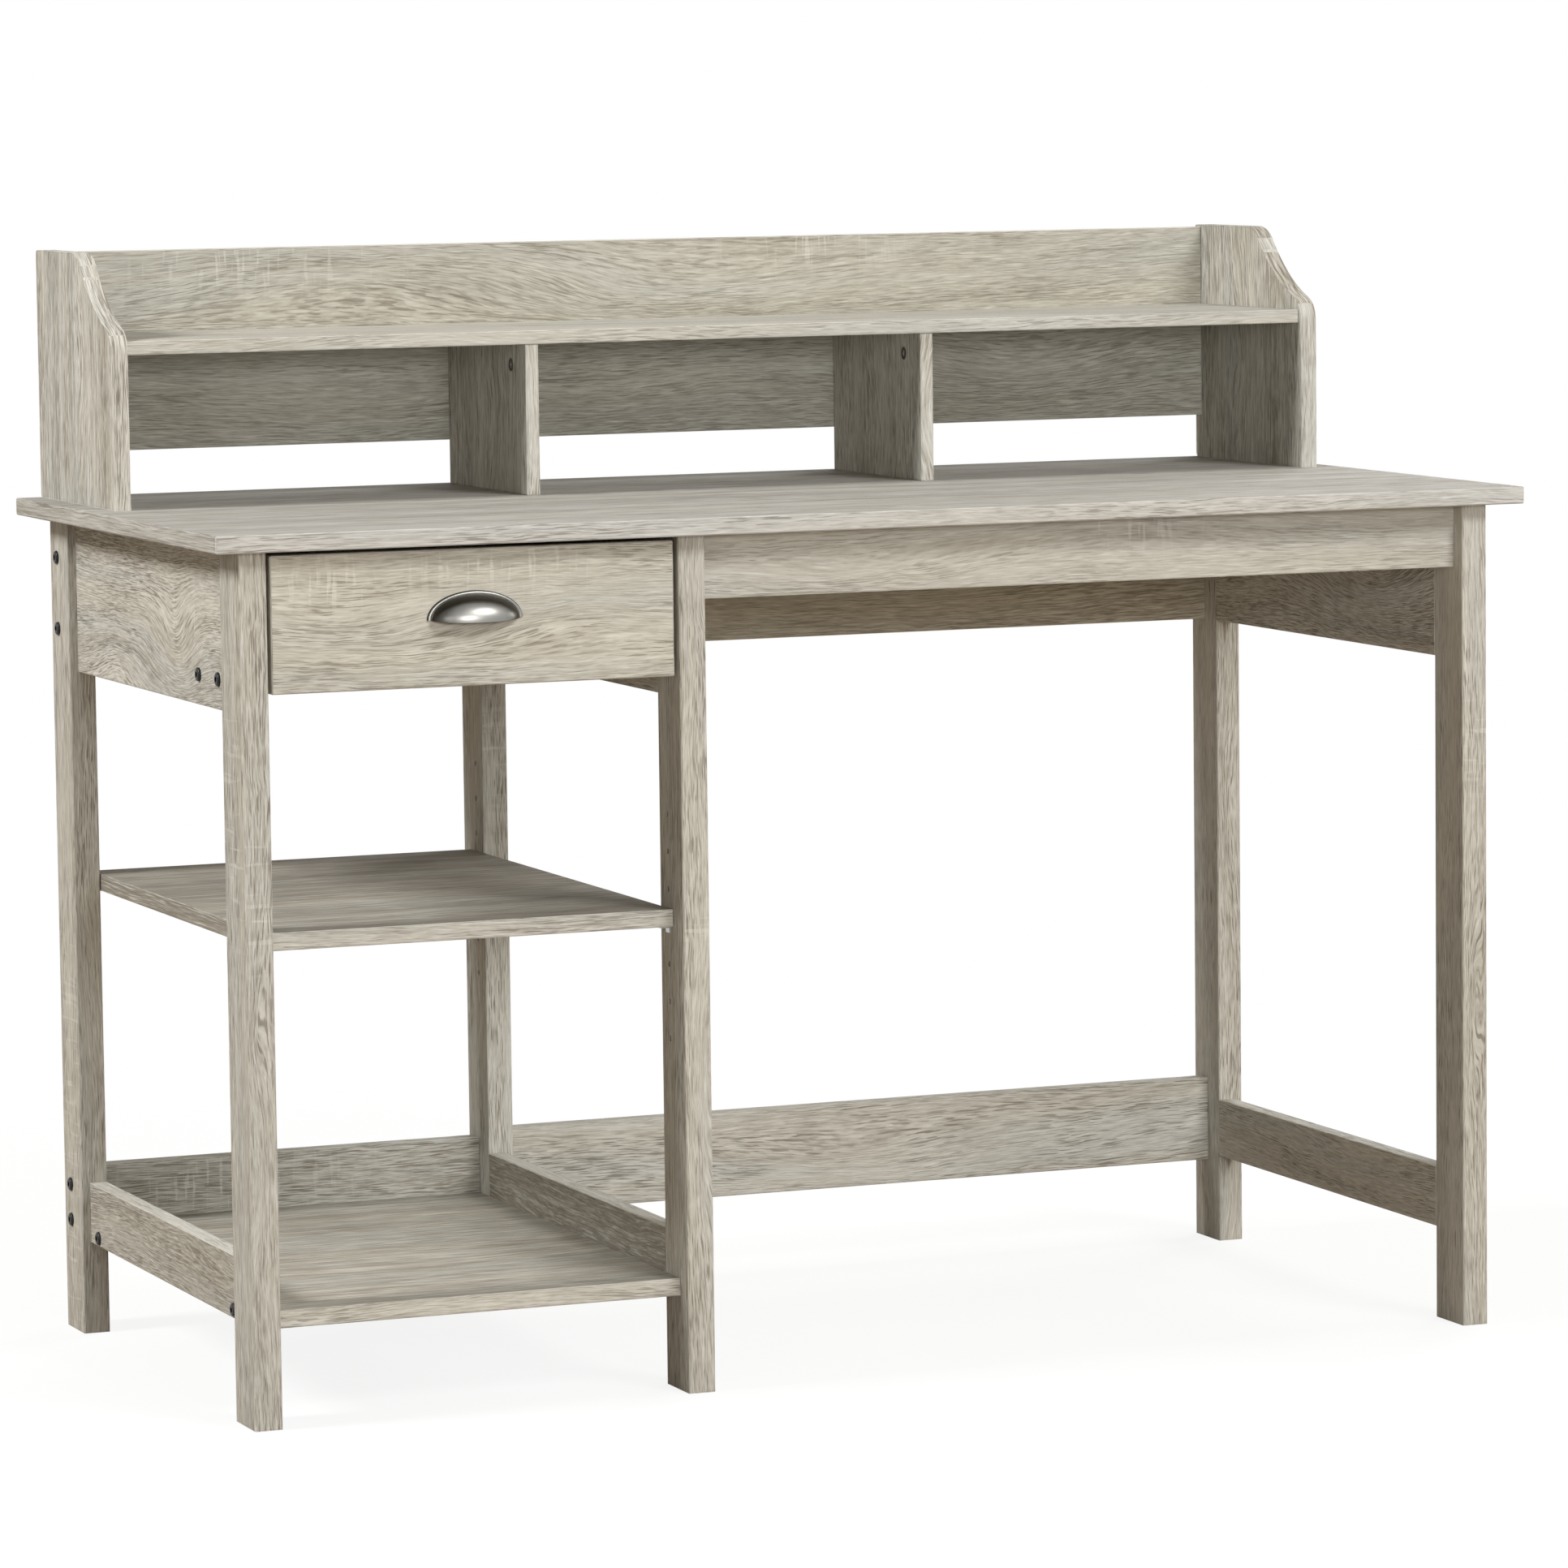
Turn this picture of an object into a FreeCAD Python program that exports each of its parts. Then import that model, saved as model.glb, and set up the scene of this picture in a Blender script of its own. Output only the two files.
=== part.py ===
import FreeCAD, Part
import math
import os
import re
import Sketcher

# Student desk with a three-cubby hutch, one drawer and a two-shelf pedestal.
# Millimetres. +X runs from the pedestal to the knee space, +Y to the back, +Z up.
# The origin lies on the floor, midway along the desktop and midway between its front and rear edges.

Vector = FreeCAD.Vector
Rotation = FreeCAD.Rotation
doc = FreeCAD.newDocument("student_desk")

# ---------------------------------------------------------------- driving sizes
DRIVING_SIZES = [
    # desktop and the three side frames
    ("desk_width", 1200.0), ("desk_depth", 592.0), ("desk_height", 746.0), ("top_thickness", 15.0),
    ("side_overhang", 26.0), ("front_overhang", 22.0), ("rear_overhang", 16.0),
    ("leg_thickness", 24.0), ("leg_width", 53.0), ("leg_edge_radius", 1.6),
    ("pedestal_clear", 362.0), ("rail_thickness", 16.0), ("board_easing", 0.6), ("top_easing", 1.0),
    ("apron_height", 137.0), ("low_rail_bottom", 82.0), ("low_rail_height", 54.0),
    # rails that run along the desk
    ("front_rail_height", 56.0), ("front_rail_setback", 15.0), ("rear_rail_setback", 13.0),
    ("back_rail_height", 66.0), ("stretcher_bottom", 75.5), ("stretcher_height", 79.0),
    ("drawer_rail_thickness", 15.0), ("drawer_rail_width", 100.0), ("drawer_rail_setback", 10.0),
    ("drawer_rail_rise", 18.0),
    # shelves and their pins
    ("shelf_thickness", 15.0), ("bottom_shelf_setback", 17.0), ("middle_shelf_setback", 21.0),
    ("shelf_end_gap", 0.5), ("pin_row_inset", 34.0), ("pin_hole_dia", 5.2), ("pin_hole_depth", 9.0),
    ("pin_pitch", 32.0), ("pin_hole_count", 7), ("lowest_pin_height", 300.4), ("shelf_pin_step", 3),
    ("pin_dia", 5.0), ("pin_shank", 8.0), ("pin_plate", 1.2), ("pin_plate_drop", 5.0),
    ("pin_tongue_length", 9.0), ("pin_tongue_width", 8.0), ("pin_tongue_rise", 1.2),
    ("pin_tongue_thick", 2.0),
    # drawer
    ("drawer_front_thickness", 15.0), ("drawer_front_height", 114.4), ("drawer_top_gap", 4.6),
    ("drawer_side_gap", 3.6), ("drawer_setback", 2.0), ("runner_space", 12.5),
    ("drawer_side_thickness", 12.0), ("drawer_side_height", 80.0), ("drawer_box_depth", 405.0),
    ("drawer_floor_thickness", 3.0), ("groove_depth", 5.0), ("groove_rise", 9.0), ("groove_play", 0.2),
    # roller runners
    ("runner_rear_gap", 2.0), ("runner_sheet", 1.2), ("channel_height", 20.0), ("channel_flange", 9.5),
    ("channel_lift", 4.0), ("roller_dia", 16.8), ("roller_width", 6.0), ("roller_play", 0.3),
    ("roller_bore_play", 0.06), ("rivet_dia", 4.0), ("rivet_head_dia", 7.0), ("rivet_head", 0.8),
    ("roller_end_inset", 12.0), ("roller_end_play", 1.6), ("roller_web_gap", 1.6),
    ("roller_side_play", 0.3), ("track_width", 8.5), ("track_lift", 0.8), ("runner_ledge", 10.0),
    ("runner_front_gap", 3.0),
    ("runner_screw_inset", 60.0), ("runner_screw_dia", 3.5), ("runner_screw_reach", 10.0),
    ("runner_head_dia", 6.0), ("runner_pan_height", 1.0),
    # cup pull
    ("cup_half_width", 39.0), ("cup_radius", 20.5), ("cup_wall", 1.6), ("cup_bands", 8),
    ("rim_lap", 3.0), ("rim_thickness", 2.6), ("rim_bevel", 1.0), ("lip_bow", 96.0), ("pull_drop", 63.0),
    ("pull_screw_spacing", 62.0), ("pull_boss_dia", 7.0), ("pull_boss_length", 6.0),
    ("pull_screw_rise", 5.0), ("pull_screw_dia", 4.0), ("pull_screw_reach", 5.0),
    ("pull_head_dia", 8.0), ("pull_head_height", 2.4),
    # hutch
    ("hutch_side_inset", 23.0), ("hutch_rear_inset", 2.0), ("hutch_side_thickness", 15.0),
    ("hutch_side_depth", 227.0), ("hutch_height", 220.0), ("hutch_front_height", 135.5),
    ("hutch_top_flat", 111.0), ("crown_radius", 36.0), ("sweep_radius", 180.0), ("shoulder_radius", 22.0),
    ("hutch_corner_radius", 4.0), ("hutch_board", 12.0), ("hutch_shelf_rise", 133.5),
    ("hutch_shelf_setback", 5.0), ("divider_setback", 7.0), ("hutch_back_inset", 1.0),
    ("hutch_back_gap", 40.0), ("hutch_back_height", 178.0),
    # connector screws through the frames, and their spacing in each joint
    ("screw_head_dia", 12.0), ("screw_head_height", 2.6), ("screw_dia", 6.0), ("screw_length", 50.0),
    ("socket_across", 4.6), ("socket_depth", 1.6), ("socket_sides", 6),
    ("bore_play", 0.1), ("end_play", 0.5), ("buried_sides", 8), ("open_sides", 12),
    ("apron_screw_spacing", 63.4), ("low_screw_spacing", 32.0), ("front_rail_screw_spacing", 26.0),
    ("stretcher_screw_spacing", 40.0), ("drawer_rail_screw_spacing", 54.0), ("shelf_screw_inset", 25.5),
    # cam fittings
    ("cam_dia", 12.4), ("cam_depth", 9.5), ("cam_centre", 19.3), ("hole_lap", 1.5),
    ("bolt_dia", 5.0), ("bolt_thread", 9.0), ("divider_cam_inset", 39.0),
    ("hutch_cam_inset", 45.0),
]

# ---------------------------------------------------------------- places worked out from them
DERIVED_SIZES = [
    ("left_end", "0 - desk_width / 2"),
    ("front_end", "0 - desk_depth / 2"),
    ("rear_end", "desk_depth / 2"),
    ("top_underside", "desk_height - top_thickness"),
    ("left_leg_x", "left_end + side_overhang"),
    ("pedestal_left", "left_leg_x + leg_thickness"),
    ("middle_leg_x", "pedestal_left + pedestal_clear"),
    ("knee_left", "middle_leg_x + leg_thickness"),
    ("right_leg_x", "desk_width / 2 - side_overhang - leg_thickness"),
    ("right_leg_out", "right_leg_x + leg_thickness"),
    ("front_leg_y", "front_end + front_overhang"),
    ("side_rail_y", "front_leg_y + leg_width"),
    ("rear_leg_y", "rear_end - rear_overhang - leg_width"),
    ("side_rail_length", "rear_leg_y - side_rail_y"),
    ("left_rail_x", "pedestal_left - rail_thickness"),
    ("knee_clear", "right_leg_x - knee_left"),
    ("apron_bottom", "top_underside - apron_height"),
    ("front_rail_y", "front_leg_y + front_rail_setback"),
    ("rear_rail_y", "rear_leg_y + leg_width - rear_rail_setback - rail_thickness"),
    ("drawer_rail_bottom", "apron_bottom + drawer_rail_rise"),
    ("drawer_rail_y", "side_rail_y + drawer_rail_setback"),
    ("bottom_shelf_y", "front_leg_y + bottom_shelf_setback"),
    ("middle_shelf_y", "front_leg_y + middle_shelf_setback"),
    ("middle_shelf_depth", "desk_depth - front_overhang - rear_overhang - 2 * middle_shelf_setback"),
    ("front_pin_y", "front_leg_y + pin_row_inset"),
    ("rear_pin_y", "rear_leg_y + leg_width - pin_row_inset"),
    ("shelf_pin_z", "lowest_pin_height + shelf_pin_step * pin_pitch"),
    ("middle_shelf_z", "shelf_pin_z + pin_tongue_rise"),
    ("drawer_front_y", "front_leg_y + drawer_setback"),
    ("drawer_back_of_front", "drawer_front_y + drawer_front_thickness"),
    ("drawer_front_z", "top_underside - drawer_top_gap - drawer_front_height"),
    ("drawer_front_width", "pedestal_clear - 2 * drawer_side_gap"),
    ("pedestal_middle", "pedestal_left + pedestal_clear / 2"),
    ("channel_z", "drawer_rail_bottom + drawer_rail_thickness + channel_lift"),
    ("channel_y", "drawer_back_of_front + runner_front_gap"),
    ("channel_inside", "channel_z + runner_sheet"),
    ("runner_length", "drawer_box_depth - runner_front_gap - runner_rear_gap"),
    ("drawer_side_x", "pedestal_left + runner_space"),
    ("drawer_box_width", "pedestal_clear - 2 * runner_space"),
    ("track_z", "channel_z + channel_height + track_lift"),
    ("drawer_side_z", "channel_z + 2 * runner_sheet"),
    ("front_roller_z", "track_z - roller_play - roller_dia / 2"),
    ("rear_roller_z", "channel_inside + roller_play + roller_dia / 2"),
    ("front_roller_y", "channel_y + roller_end_inset"),
    ("rear_roller_y", "channel_y + runner_length - roller_end_inset"),
    ("roller_x", "pedestal_left + runner_sheet + roller_web_gap"),
    ("drawer_roller_gap", "runner_space - 2 * runner_sheet - roller_web_gap - roller_width"),
    ("drawer_floor_z", "drawer_side_z + groove_rise"),
    ("hutch_left_x", "left_end + hutch_side_inset"),
    ("hutch_inner_left", "hutch_left_x + hutch_side_thickness"),
    ("hutch_inner_right", "desk_width / 2 - hutch_side_inset - hutch_side_thickness"),
    ("hutch_inner_width", "hutch_inner_right - hutch_inner_left"),
    ("hutch_rear_y", "rear_end - hutch_rear_inset"),
    ("hutch_front_y", "hutch_rear_y - hutch_side_depth"),
    ("hutch_back_y", "hutch_rear_y - hutch_back_inset - hutch_board"),
    ("hutch_shelf_z", "desk_height + hutch_shelf_rise"),
    ("hutch_shelf_y", "hutch_front_y + hutch_shelf_setback"),
    ("divider_y", "hutch_front_y + divider_setback"),
    ("cubby_width", "(hutch_inner_width - 2 * hutch_board) / 3"),
    ("left_divider_x", "hutch_inner_left + cubby_width"),
    ("right_divider_x", "left_divider_x + hutch_board + cubby_width"),
    ("hutch_back_z", "desk_height + hutch_back_gap"),
    ("shelf_screw_z", "low_rail_bottom + shelf_thickness / 2"),
    ("pull_z", "top_underside - pull_drop"),
    ("pull_screw_z", "pull_z + pull_screw_rise"),
]

sizes = doc.addObject("Spreadsheet::Sheet", "Sizes")


def fill_sheet():
    """One row per size: its name in column A, its value or formula in column B."""
    row = 0
    for name, value in DRIVING_SIZES:
        row += 1
        sizes.set(f"A{row}", name)
        sizes.set(f"B{row}", str(value))
        sizes.setAlias(f"B{row}", name)
    for name, formula in DERIVED_SIZES:
        row += 1
        sizes.set(f"A{row}", name)
        sizes.set(f"B{row}", "=" + formula)
        sizes.setAlias(f"B{row}", name)
    doc.recompute()


fill_sheet()


def bound(formula):
    """Write a formula on sheet names as an expression that other objects can use."""
    return re.sub(r"[a-z][a-z_]*", lambda word: "Sizes." + word.group(0), str(formula))


def value(formula):
    """The number that a formula on sheet names gives now."""
    numbers = {word: sizes.get(word) for word in re.findall(r"[a-z][a-z_]*", formula)}
    text = re.sub(r"[a-z][a-z_]*", lambda word: repr(float(numbers[word.group(0)])), formula)
    return float(FreeCAD.Units.Quantity(text).Value)


def origin_part(body, role):
    return next(feature for feature in body.Origin.OriginFeatures if feature.Role == role)


def bind(thing, **formulas):
    for name, formula in formulas.items():
        thing.setExpression(name, bound(formula))


def place(thing, x, y, z, turn=None):
    """Put an object at a corner given by formulas, turned if asked."""
    if turn is not None:
        thing.Placement = FreeCAD.Placement(Vector(0, 0, 0), turn)
    for axis, formula in zip("xyz", (x, y, z)):
        thing.setExpression(f"Placement.Base.{axis}", bound(formula))


# A cylinder stands along +Z until it is turned to one of these directions.
TOWARDS = {
    "+X": Rotation(Vector(0, 1, 0), 90),
    "-X": Rotation(Vector(0, 1, 0), -90),
    "+Y": Rotation(Vector(1, 0, 0), -90),
    "-Y": Rotation(Vector(1, 0, 0), 90),
    "+Z": Rotation(Vector(1, 0, 0), 0),
    "-Z": Rotation(Vector(1, 0, 0), 180),
    "half turn": Rotation(Vector(0, 0, 1), 180),
}

# An edge runs along an axis when its direction's share of that axis is above this.
ALONG = 0.99
# Two places closer than this, in millimetres, are one place.
SAME_PLACE = 0.001

subparts = []


def rectangle_sketch(body, name, role, across, up):
    """A rectangle from the body's origin, its two sides bound to sheet formulas."""
    sketch = body.newObject("Sketcher::SketchObject", name)
    sketch.AttachmentSupport = [(origin_part(body, role), "")]
    sketch.MapMode = "FlatFace"
    wide, tall = value(across), value(up)
    corners = [Vector(0, 0, 0), Vector(wide, 0, 0), Vector(wide, tall, 0), Vector(0, tall, 0)]
    for i in range(4):
        sketch.addGeometry(Part.LineSegment(corners[i], corners[(i + 1) % 4]), False)
    for i in range(4):
        sketch.addConstraint(Sketcher.Constraint("Coincident", i, 2, (i + 1) % 4, 1))
    for i, kind in enumerate(("Horizontal", "Vertical", "Horizontal", "Vertical")):
        sketch.addConstraint(Sketcher.Constraint(kind, i))
    sketch.addConstraint(Sketcher.Constraint("Coincident", 0, 1, -1, 1))
    number = sketch.addConstraint(Sketcher.Constraint("DistanceX", 0, 1, 0, 2, wide))
    sketch.renameConstraint(number, "across")
    number = sketch.addConstraint(Sketcher.Constraint("DistanceY", 1, 1, 1, 2, tall))
    sketch.renameConstraint(number, "up")
    sketch.setExpression("Constraints.across", bound(across))
    sketch.setExpression("Constraints.up", bound(up))
    return sketch


class Piece:
    """A body whose corner is given by formulas, with holes placed on the whole desk."""

    def __init__(self, label, corner):
        self.corner = corner
        self.label = label
        self.count = 0
        self.body = doc.addObject("PartDesign::Body", label)
        place(self.body, *corner)
        subparts.append(self.body)

    def local(self, point):
        return [f"({there}) - ({here})" for there, here in zip(point, self.corner)]

    def bore(self, mouth, direction, dia, depth, sides="open_sides"):
        """Cut a small hole from its mouth along a direction, with a named number of flat sides."""
        self.count += 1
        hole = self.body.newObject("PartDesign::SubtractivePrism", f"{self.label}_bore_{self.count}")
        place(hole, *self.local(mouth), turn=TOWARDS[direction])
        bind(hole, Circumradius=f"({dia}) / 2", Height=depth, Polygon=sides)
        doc.recompute()
        return hole

    def repeat_up(self, hole, pitch, number):
        """Repeat a hole upwards at a fixed pitch."""
        pattern = self.body.newObject("PartDesign::LinearPattern", f"{self.label}_row")
        pattern.Originals = [hole]
        pattern.Direction = (origin_part(self.body, "Z_Axis"), [""])
        bind(pattern, Length=f"{pitch} * ({number} - 1)", Occurrences=number)
        self.body.Tip = pattern
        doc.recompute()

    def groove(self, corner, extent):
        """Cut a square groove whose corner and sizes are formulas."""
        self.count += 1
        slot = self.body.newObject("PartDesign::SubtractiveBox", f"{self.label}_groove_{self.count}")
        place(slot, *self.local(corner))
        bind(slot, Length=extent[0], Width=extent[1], Height=extent[2])
        doc.recompute()


class Board(Piece):
    """A rectangular board: its lowest corner and its three sizes are formulas on sheet names."""

    def __init__(self, label, corner, extent):
        super().__init__(label, corner)
        sketch = rectangle_sketch(self.body, f"{label}_outline", "XY_Plane", extent[0], extent[1])
        self.pad = self.body.newObject("PartDesign::Pad", f"{label}_panel")
        self.pad.Profile = sketch
        bind(self.pad, Length=extent[2])
        doc.recompute()

    def edges_along(self, axes):
        names = []
        for i, edge in enumerate(self.pad.Shape.Edges):
            run = edge.tangentAt(edge.FirstParameter)
            if any(abs(getattr(run, axis)) > ALONG for axis in axes):
                names.append(f"Edge{i + 1}")
        return names

    def ease(self, size, axes="xyz"):
        """Break the edges that run along the given axes with a small chamfer."""
        chamfer = self.body.newObject("PartDesign::Chamfer", f"{self.label}_eased")
        chamfer.Base = (self.pad, self.edges_along(axes))
        bind(chamfer, Size=size)
        doc.recompute()
        return self

    def round(self, radius, axes):
        fillet = self.body.newObject("PartDesign::Fillet", f"{self.label}_rounded")
        fillet.Base = (self.pad, self.edges_along(axes))
        bind(fillet, Radius=radius)
        doc.recompute()
        return self


def fuse(name, shapes):
    union = doc.addObject("Part::MultiFuse", name)
    union.Shapes = shapes
    return union


def cut(name, base, tool):
    result = doc.addObject("Part::Cut", name)
    result.Base = base
    result.Tool = tool
    return result


def group(label, masters_and_places):
    """One sub-part of separate solids, each a linked copy of a master fitting."""
    copies = []
    for i, (master, at, direction) in enumerate(masters_and_places):
        copy = doc.addObject("App::Link", f"{label}_{i + 1}")
        copy.LinkedObject = master
        place(copy, *at, turn=TOWARDS[direction])
        copies.append(copy)
    compound = doc.addObject("Part::Compound", label)
    compound.Links = copies
    doc.recompute()
    subparts.append(compound)
    return compound


def outline_sketch(body, name, role, corners):
    """A closed polygon whose corners are pairs of formulas, measured from the body's origin."""
    sketch = body.newObject("Sketcher::SketchObject", name)
    sketch.AttachmentSupport = [(origin_part(body, role), "")]
    sketch.MapMode = "FlatFace"
    points = [Vector(value(across), value(up), 0) for across, up in corners]
    for i, point in enumerate(points):
        sketch.addGeometry(Part.LineSegment(point, points[(i + 1) % len(points)]), False)
    for i in range(len(points)):
        sketch.addConstraint(Sketcher.Constraint("Coincident", i, 2, (i + 1) % len(points), 1))
    for i, pair in enumerate(corners):
        for axis, formula, line in (("X", pair[0], -2), ("Y", pair[1], -1)):
            if formula == "0":
                sketch.addConstraint(Sketcher.Constraint("PointOnObject", i, 1, line))
                continue
            at = value(formula)
            kind = "Distance" + axis
            number = sketch.addConstraint(Sketcher.Constraint(kind, -1, 1, i, 1, at))
            sketch.renameConstraint(number, f"corner_{i + 1}_{axis.lower()}")
            sketch.setExpression(f"Constraints.corner_{i + 1}_{axis.lower()}", bound(formula))
    return sketch


def extrude(body, name, sketch, length, backwards=False):
    pad = body.newObject("PartDesign::Pad", name)
    pad.Profile = sketch
    pad.Reversed = backwards
    bind(pad, Length=length)
    doc.recompute()
    return pad


def new_body(label, corner):
    body = doc.addObject("PartDesign::Body", label)
    place(body, *corner)
    subparts.append(body)
    return body


def fitting(name):
    """A body that is only copied into groups, so it isn't a sub-part itself."""
    return doc.addObject("PartDesign::Body", name)


def round_feature(body, kind, name, dia, length, at, direction):
    """Add or cut a cylinder; kind is Additive or Subtractive and the place is in the body."""
    feature = body.newObject(f"PartDesign::{kind}Cylinder", name)
    place(feature, *at, turn=TOWARDS[direction])
    bind(feature, Radius=f"({dia}) / 2", Height=length)
    doc.recompute()
    return feature


def many_sided_feature(body, kind, name, dia, length, at, direction):
    """The same with flat sides, for small heads, bosses and holes that nothing turns on."""
    feature = body.newObject(f"PartDesign::{kind}Prism", name)
    place(feature, *at, turn=TOWARDS[direction])
    bind(feature, Circumradius=f"({dia}) / 2", Height=length, Polygon="open_sides")
    doc.recompute()
    return feature


def box_feature(body, kind, name, corner, extent):
    feature = body.newObject(f"PartDesign::{kind}Box", name)
    place(feature, *corner)
    bind(feature, Length=extent[0], Width=extent[1], Height=extent[2])
    doc.recompute()
    return feature


def prism(name, dia, length, sides, at=("0", "0", "0"), direction="+Z"):
    rod = doc.addObject("Part::Prism", name)
    bind(rod, Circumradius=f"({dia}) / 2", Height=length, Polygon=sides)
    place(rod, *at, turn=TOWARDS[direction])
    return rod


def headed_screw(name, head_dia, head_height, shank_dia, shank_length):
    """A flat head whose underside is at the origin, over a shank along +Z."""
    head = prism(f"{name}_head", head_dia, head_height, "open_sides", direction="-Z")
    shank = prism(f"{name}_shank", shank_dia, shank_length, "buried_sides")
    return fuse(name, [head, shank])


# ---------------------------------------------------------------- desktop and side frames
desktop = Board("desktop", ("left_end", "front_end", "top_underside"),
                ("desk_width", "desk_depth", "top_thickness")).ease("top_easing")


def leg(label, x, y):
    post = Board(label, (x, y, "0"), ("leg_thickness", "leg_width", "top_underside"))
    return post.round("leg_edge_radius", "z")


legs = {}
for side, x in (("left", "left_leg_x"), ("middle", "middle_leg_x"), ("right", "right_leg_x")):
    for end, y in (("front", "front_leg_y"), ("rear", "rear_leg_y")):
        legs[end, side] = leg(f"leg_{end}_{side}", x, y)

aprons = {}
low_rails = {}
for side, x in (("left", "left_rail_x"), ("middle", "middle_leg_x"), ("right", "right_leg_x")):
    aprons[side] = Board(f"{side}_apron", (x, "side_rail_y", "apron_bottom"),
                         ("rail_thickness", "side_rail_length", "apron_height")).ease("board_easing")
    low_rails[side] = Board(f"lower_{side}_rail", (x, "side_rail_y", "low_rail_bottom"),
                            ("rail_thickness", "side_rail_length", "low_rail_height")
                            ).ease("board_easing")


def rear_board(label, x, z, length, height):
    return Board(label, (x, "rear_rail_y", z), (length, "rail_thickness", height)).ease("board_easing")


pedestal_back_apron = rear_board("pedestal_back_apron", "pedestal_left", "apron_bottom",
                                 "pedestal_clear", "apron_height")
pedestal_back_rail = rear_board("pedestal_back_rail", "pedestal_left", "low_rail_bottom",
                                "pedestal_clear", "back_rail_height")
rear_apron = rear_board("rear_apron", "knee_left", "apron_bottom", "knee_clear", "apron_height")
rear_stretcher = rear_board("rear_stretcher", "knee_left", "stretcher_bottom",
                            "knee_clear", "stretcher_height")
front_rail = Board("front_rail", ("knee_left", "front_rail_y", "top_underside - front_rail_height"),
                   ("knee_clear", "rail_thickness", "front_rail_height")).ease("board_easing")
drawer_rail = Board("drawer_rail", ("pedestal_left", "drawer_rail_y", "drawer_rail_bottom"),
                    ("pedestal_clear", "drawer_rail_width", "drawer_rail_thickness")).ease("board_easing")
bottom_shelf = Board("bottom_shelf", ("pedestal_left", "bottom_shelf_y", "low_rail_bottom"),
                     ("pedestal_clear", "rear_rail_y - bottom_shelf_y", "shelf_thickness")
                     ).ease("board_easing")
middle_shelf = Board("middle_shelf",
                     ("pedestal_left + shelf_end_gap", "middle_shelf_y", "middle_shelf_z"),
                     ("pedestal_clear - 2 * shelf_end_gap", "middle_shelf_depth", "shelf_thickness")
                     ).ease("board_easing")


# ---------------------------------------------------------------- shelf pins and their rows of holes
def pin_rows():
    """Seven holes up the pedestal face of each of its four legs."""
    for end, y in (("front", "front_pin_y"), ("rear", "rear_pin_y")):
        for side, x, inwards in (("left", "pedestal_left", "-X"), ("middle", "middle_leg_x", "+X")):
            post = legs[end, side]
            hole = post.bore((x, y, "lowest_pin_height"), inwards, "pin_hole_dia", "pin_hole_depth")
            post.repeat_up(hole, "pin_pitch", "pin_hole_count")


def shelf_pins():
    """Spoon pins: a shank in the leg and a bent tongue under the shelf."""
    pin = fitting("shelf_pin")
    spoon = outline_sketch(pin, "spoon_outline", "XZ_Plane", [
        ("0", "0 - pin_plate_drop"), ("pin_plate", "0 - pin_plate_drop"),
        ("pin_plate", "pin_tongue_rise - pin_tongue_thick"),
        ("pin_tongue_length", "pin_tongue_rise - pin_tongue_thick"),
        ("pin_tongue_length", "pin_tongue_rise"), ("0", "pin_tongue_rise")])
    spoon_pad = extrude(pin, "spoon", spoon, "pin_tongue_width")
    spoon_pad.Midplane = True
    many_sided_feature(pin, "Additive", "shank", "pin_dia", "pin_shank", ("0", "0", "0"), "-X")
    places = []
    for y in ("front_pin_y", "rear_pin_y"):
        places.append((pin, ("pedestal_left", y, "shelf_pin_z"), "+Z"))
        places.append((pin, ("middle_leg_x", y, "shelf_pin_z"), "half turn"))
    group("shelf_pins", places)


pin_rows()
shelf_pins()


# ---------------------------------------------------------------- drawer
drawer_front = Board("drawer_front",
                     ("pedestal_left + drawer_side_gap", "drawer_front_y", "drawer_front_z"),
                     ("drawer_front_width", "drawer_front_thickness", "drawer_front_height")
                     ).ease("top_easing")
box_inner_left = "drawer_side_x + drawer_side_thickness"
box_inner_width = "drawer_box_width - 2 * drawer_side_thickness"
groove_corner_z = "drawer_floor_z - groove_play"
groove_height = "drawer_floor_thickness + 2 * groove_play"


def drawer_side(label, x, groove_x):
    side = Board(label, (x, "drawer_back_of_front", "drawer_side_z"),
                 ("drawer_side_thickness", "drawer_box_depth", "drawer_side_height"))
    side.groove((groove_x, "drawer_back_of_front", groove_corner_z),
                ("groove_depth", "drawer_box_depth", groove_height))
    return side


drawer_side_left = drawer_side("drawer_side_left", "drawer_side_x",
                               "drawer_side_x + drawer_side_thickness - groove_depth")
drawer_side_right = drawer_side("drawer_side_right",
                                "drawer_side_x + drawer_box_width - drawer_side_thickness",
                                "drawer_side_x + drawer_box_width - drawer_side_thickness")
drawer_front.groove((f"{box_inner_left} - groove_depth", "drawer_back_of_front - groove_depth",
                     groove_corner_z),
                    (f"{box_inner_width} + 2 * groove_depth", "groove_depth", groove_height))
drawer_back_y = "drawer_back_of_front + drawer_box_depth - drawer_side_thickness"
drawer_back = Board("drawer_back", (box_inner_left, drawer_back_y, "drawer_side_z"),
                    (box_inner_width, "drawer_side_thickness", "drawer_side_height"))
drawer_back.groove((box_inner_left, drawer_back_y, groove_corner_z),
                   (box_inner_width, "groove_depth", groove_height))
floor_lap = "(groove_depth - groove_play)"
drawer_bottom = Board("drawer_bottom",
                      (f"{box_inner_left} - {floor_lap}", f"drawer_back_of_front - {floor_lap}",
                       "drawer_floor_z"),
                      (f"{box_inner_width} + 2 * {floor_lap}",
                       f"drawer_box_depth - drawer_side_thickness + 2 * {floor_lap}",
                       "drawer_floor_thickness"))


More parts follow.
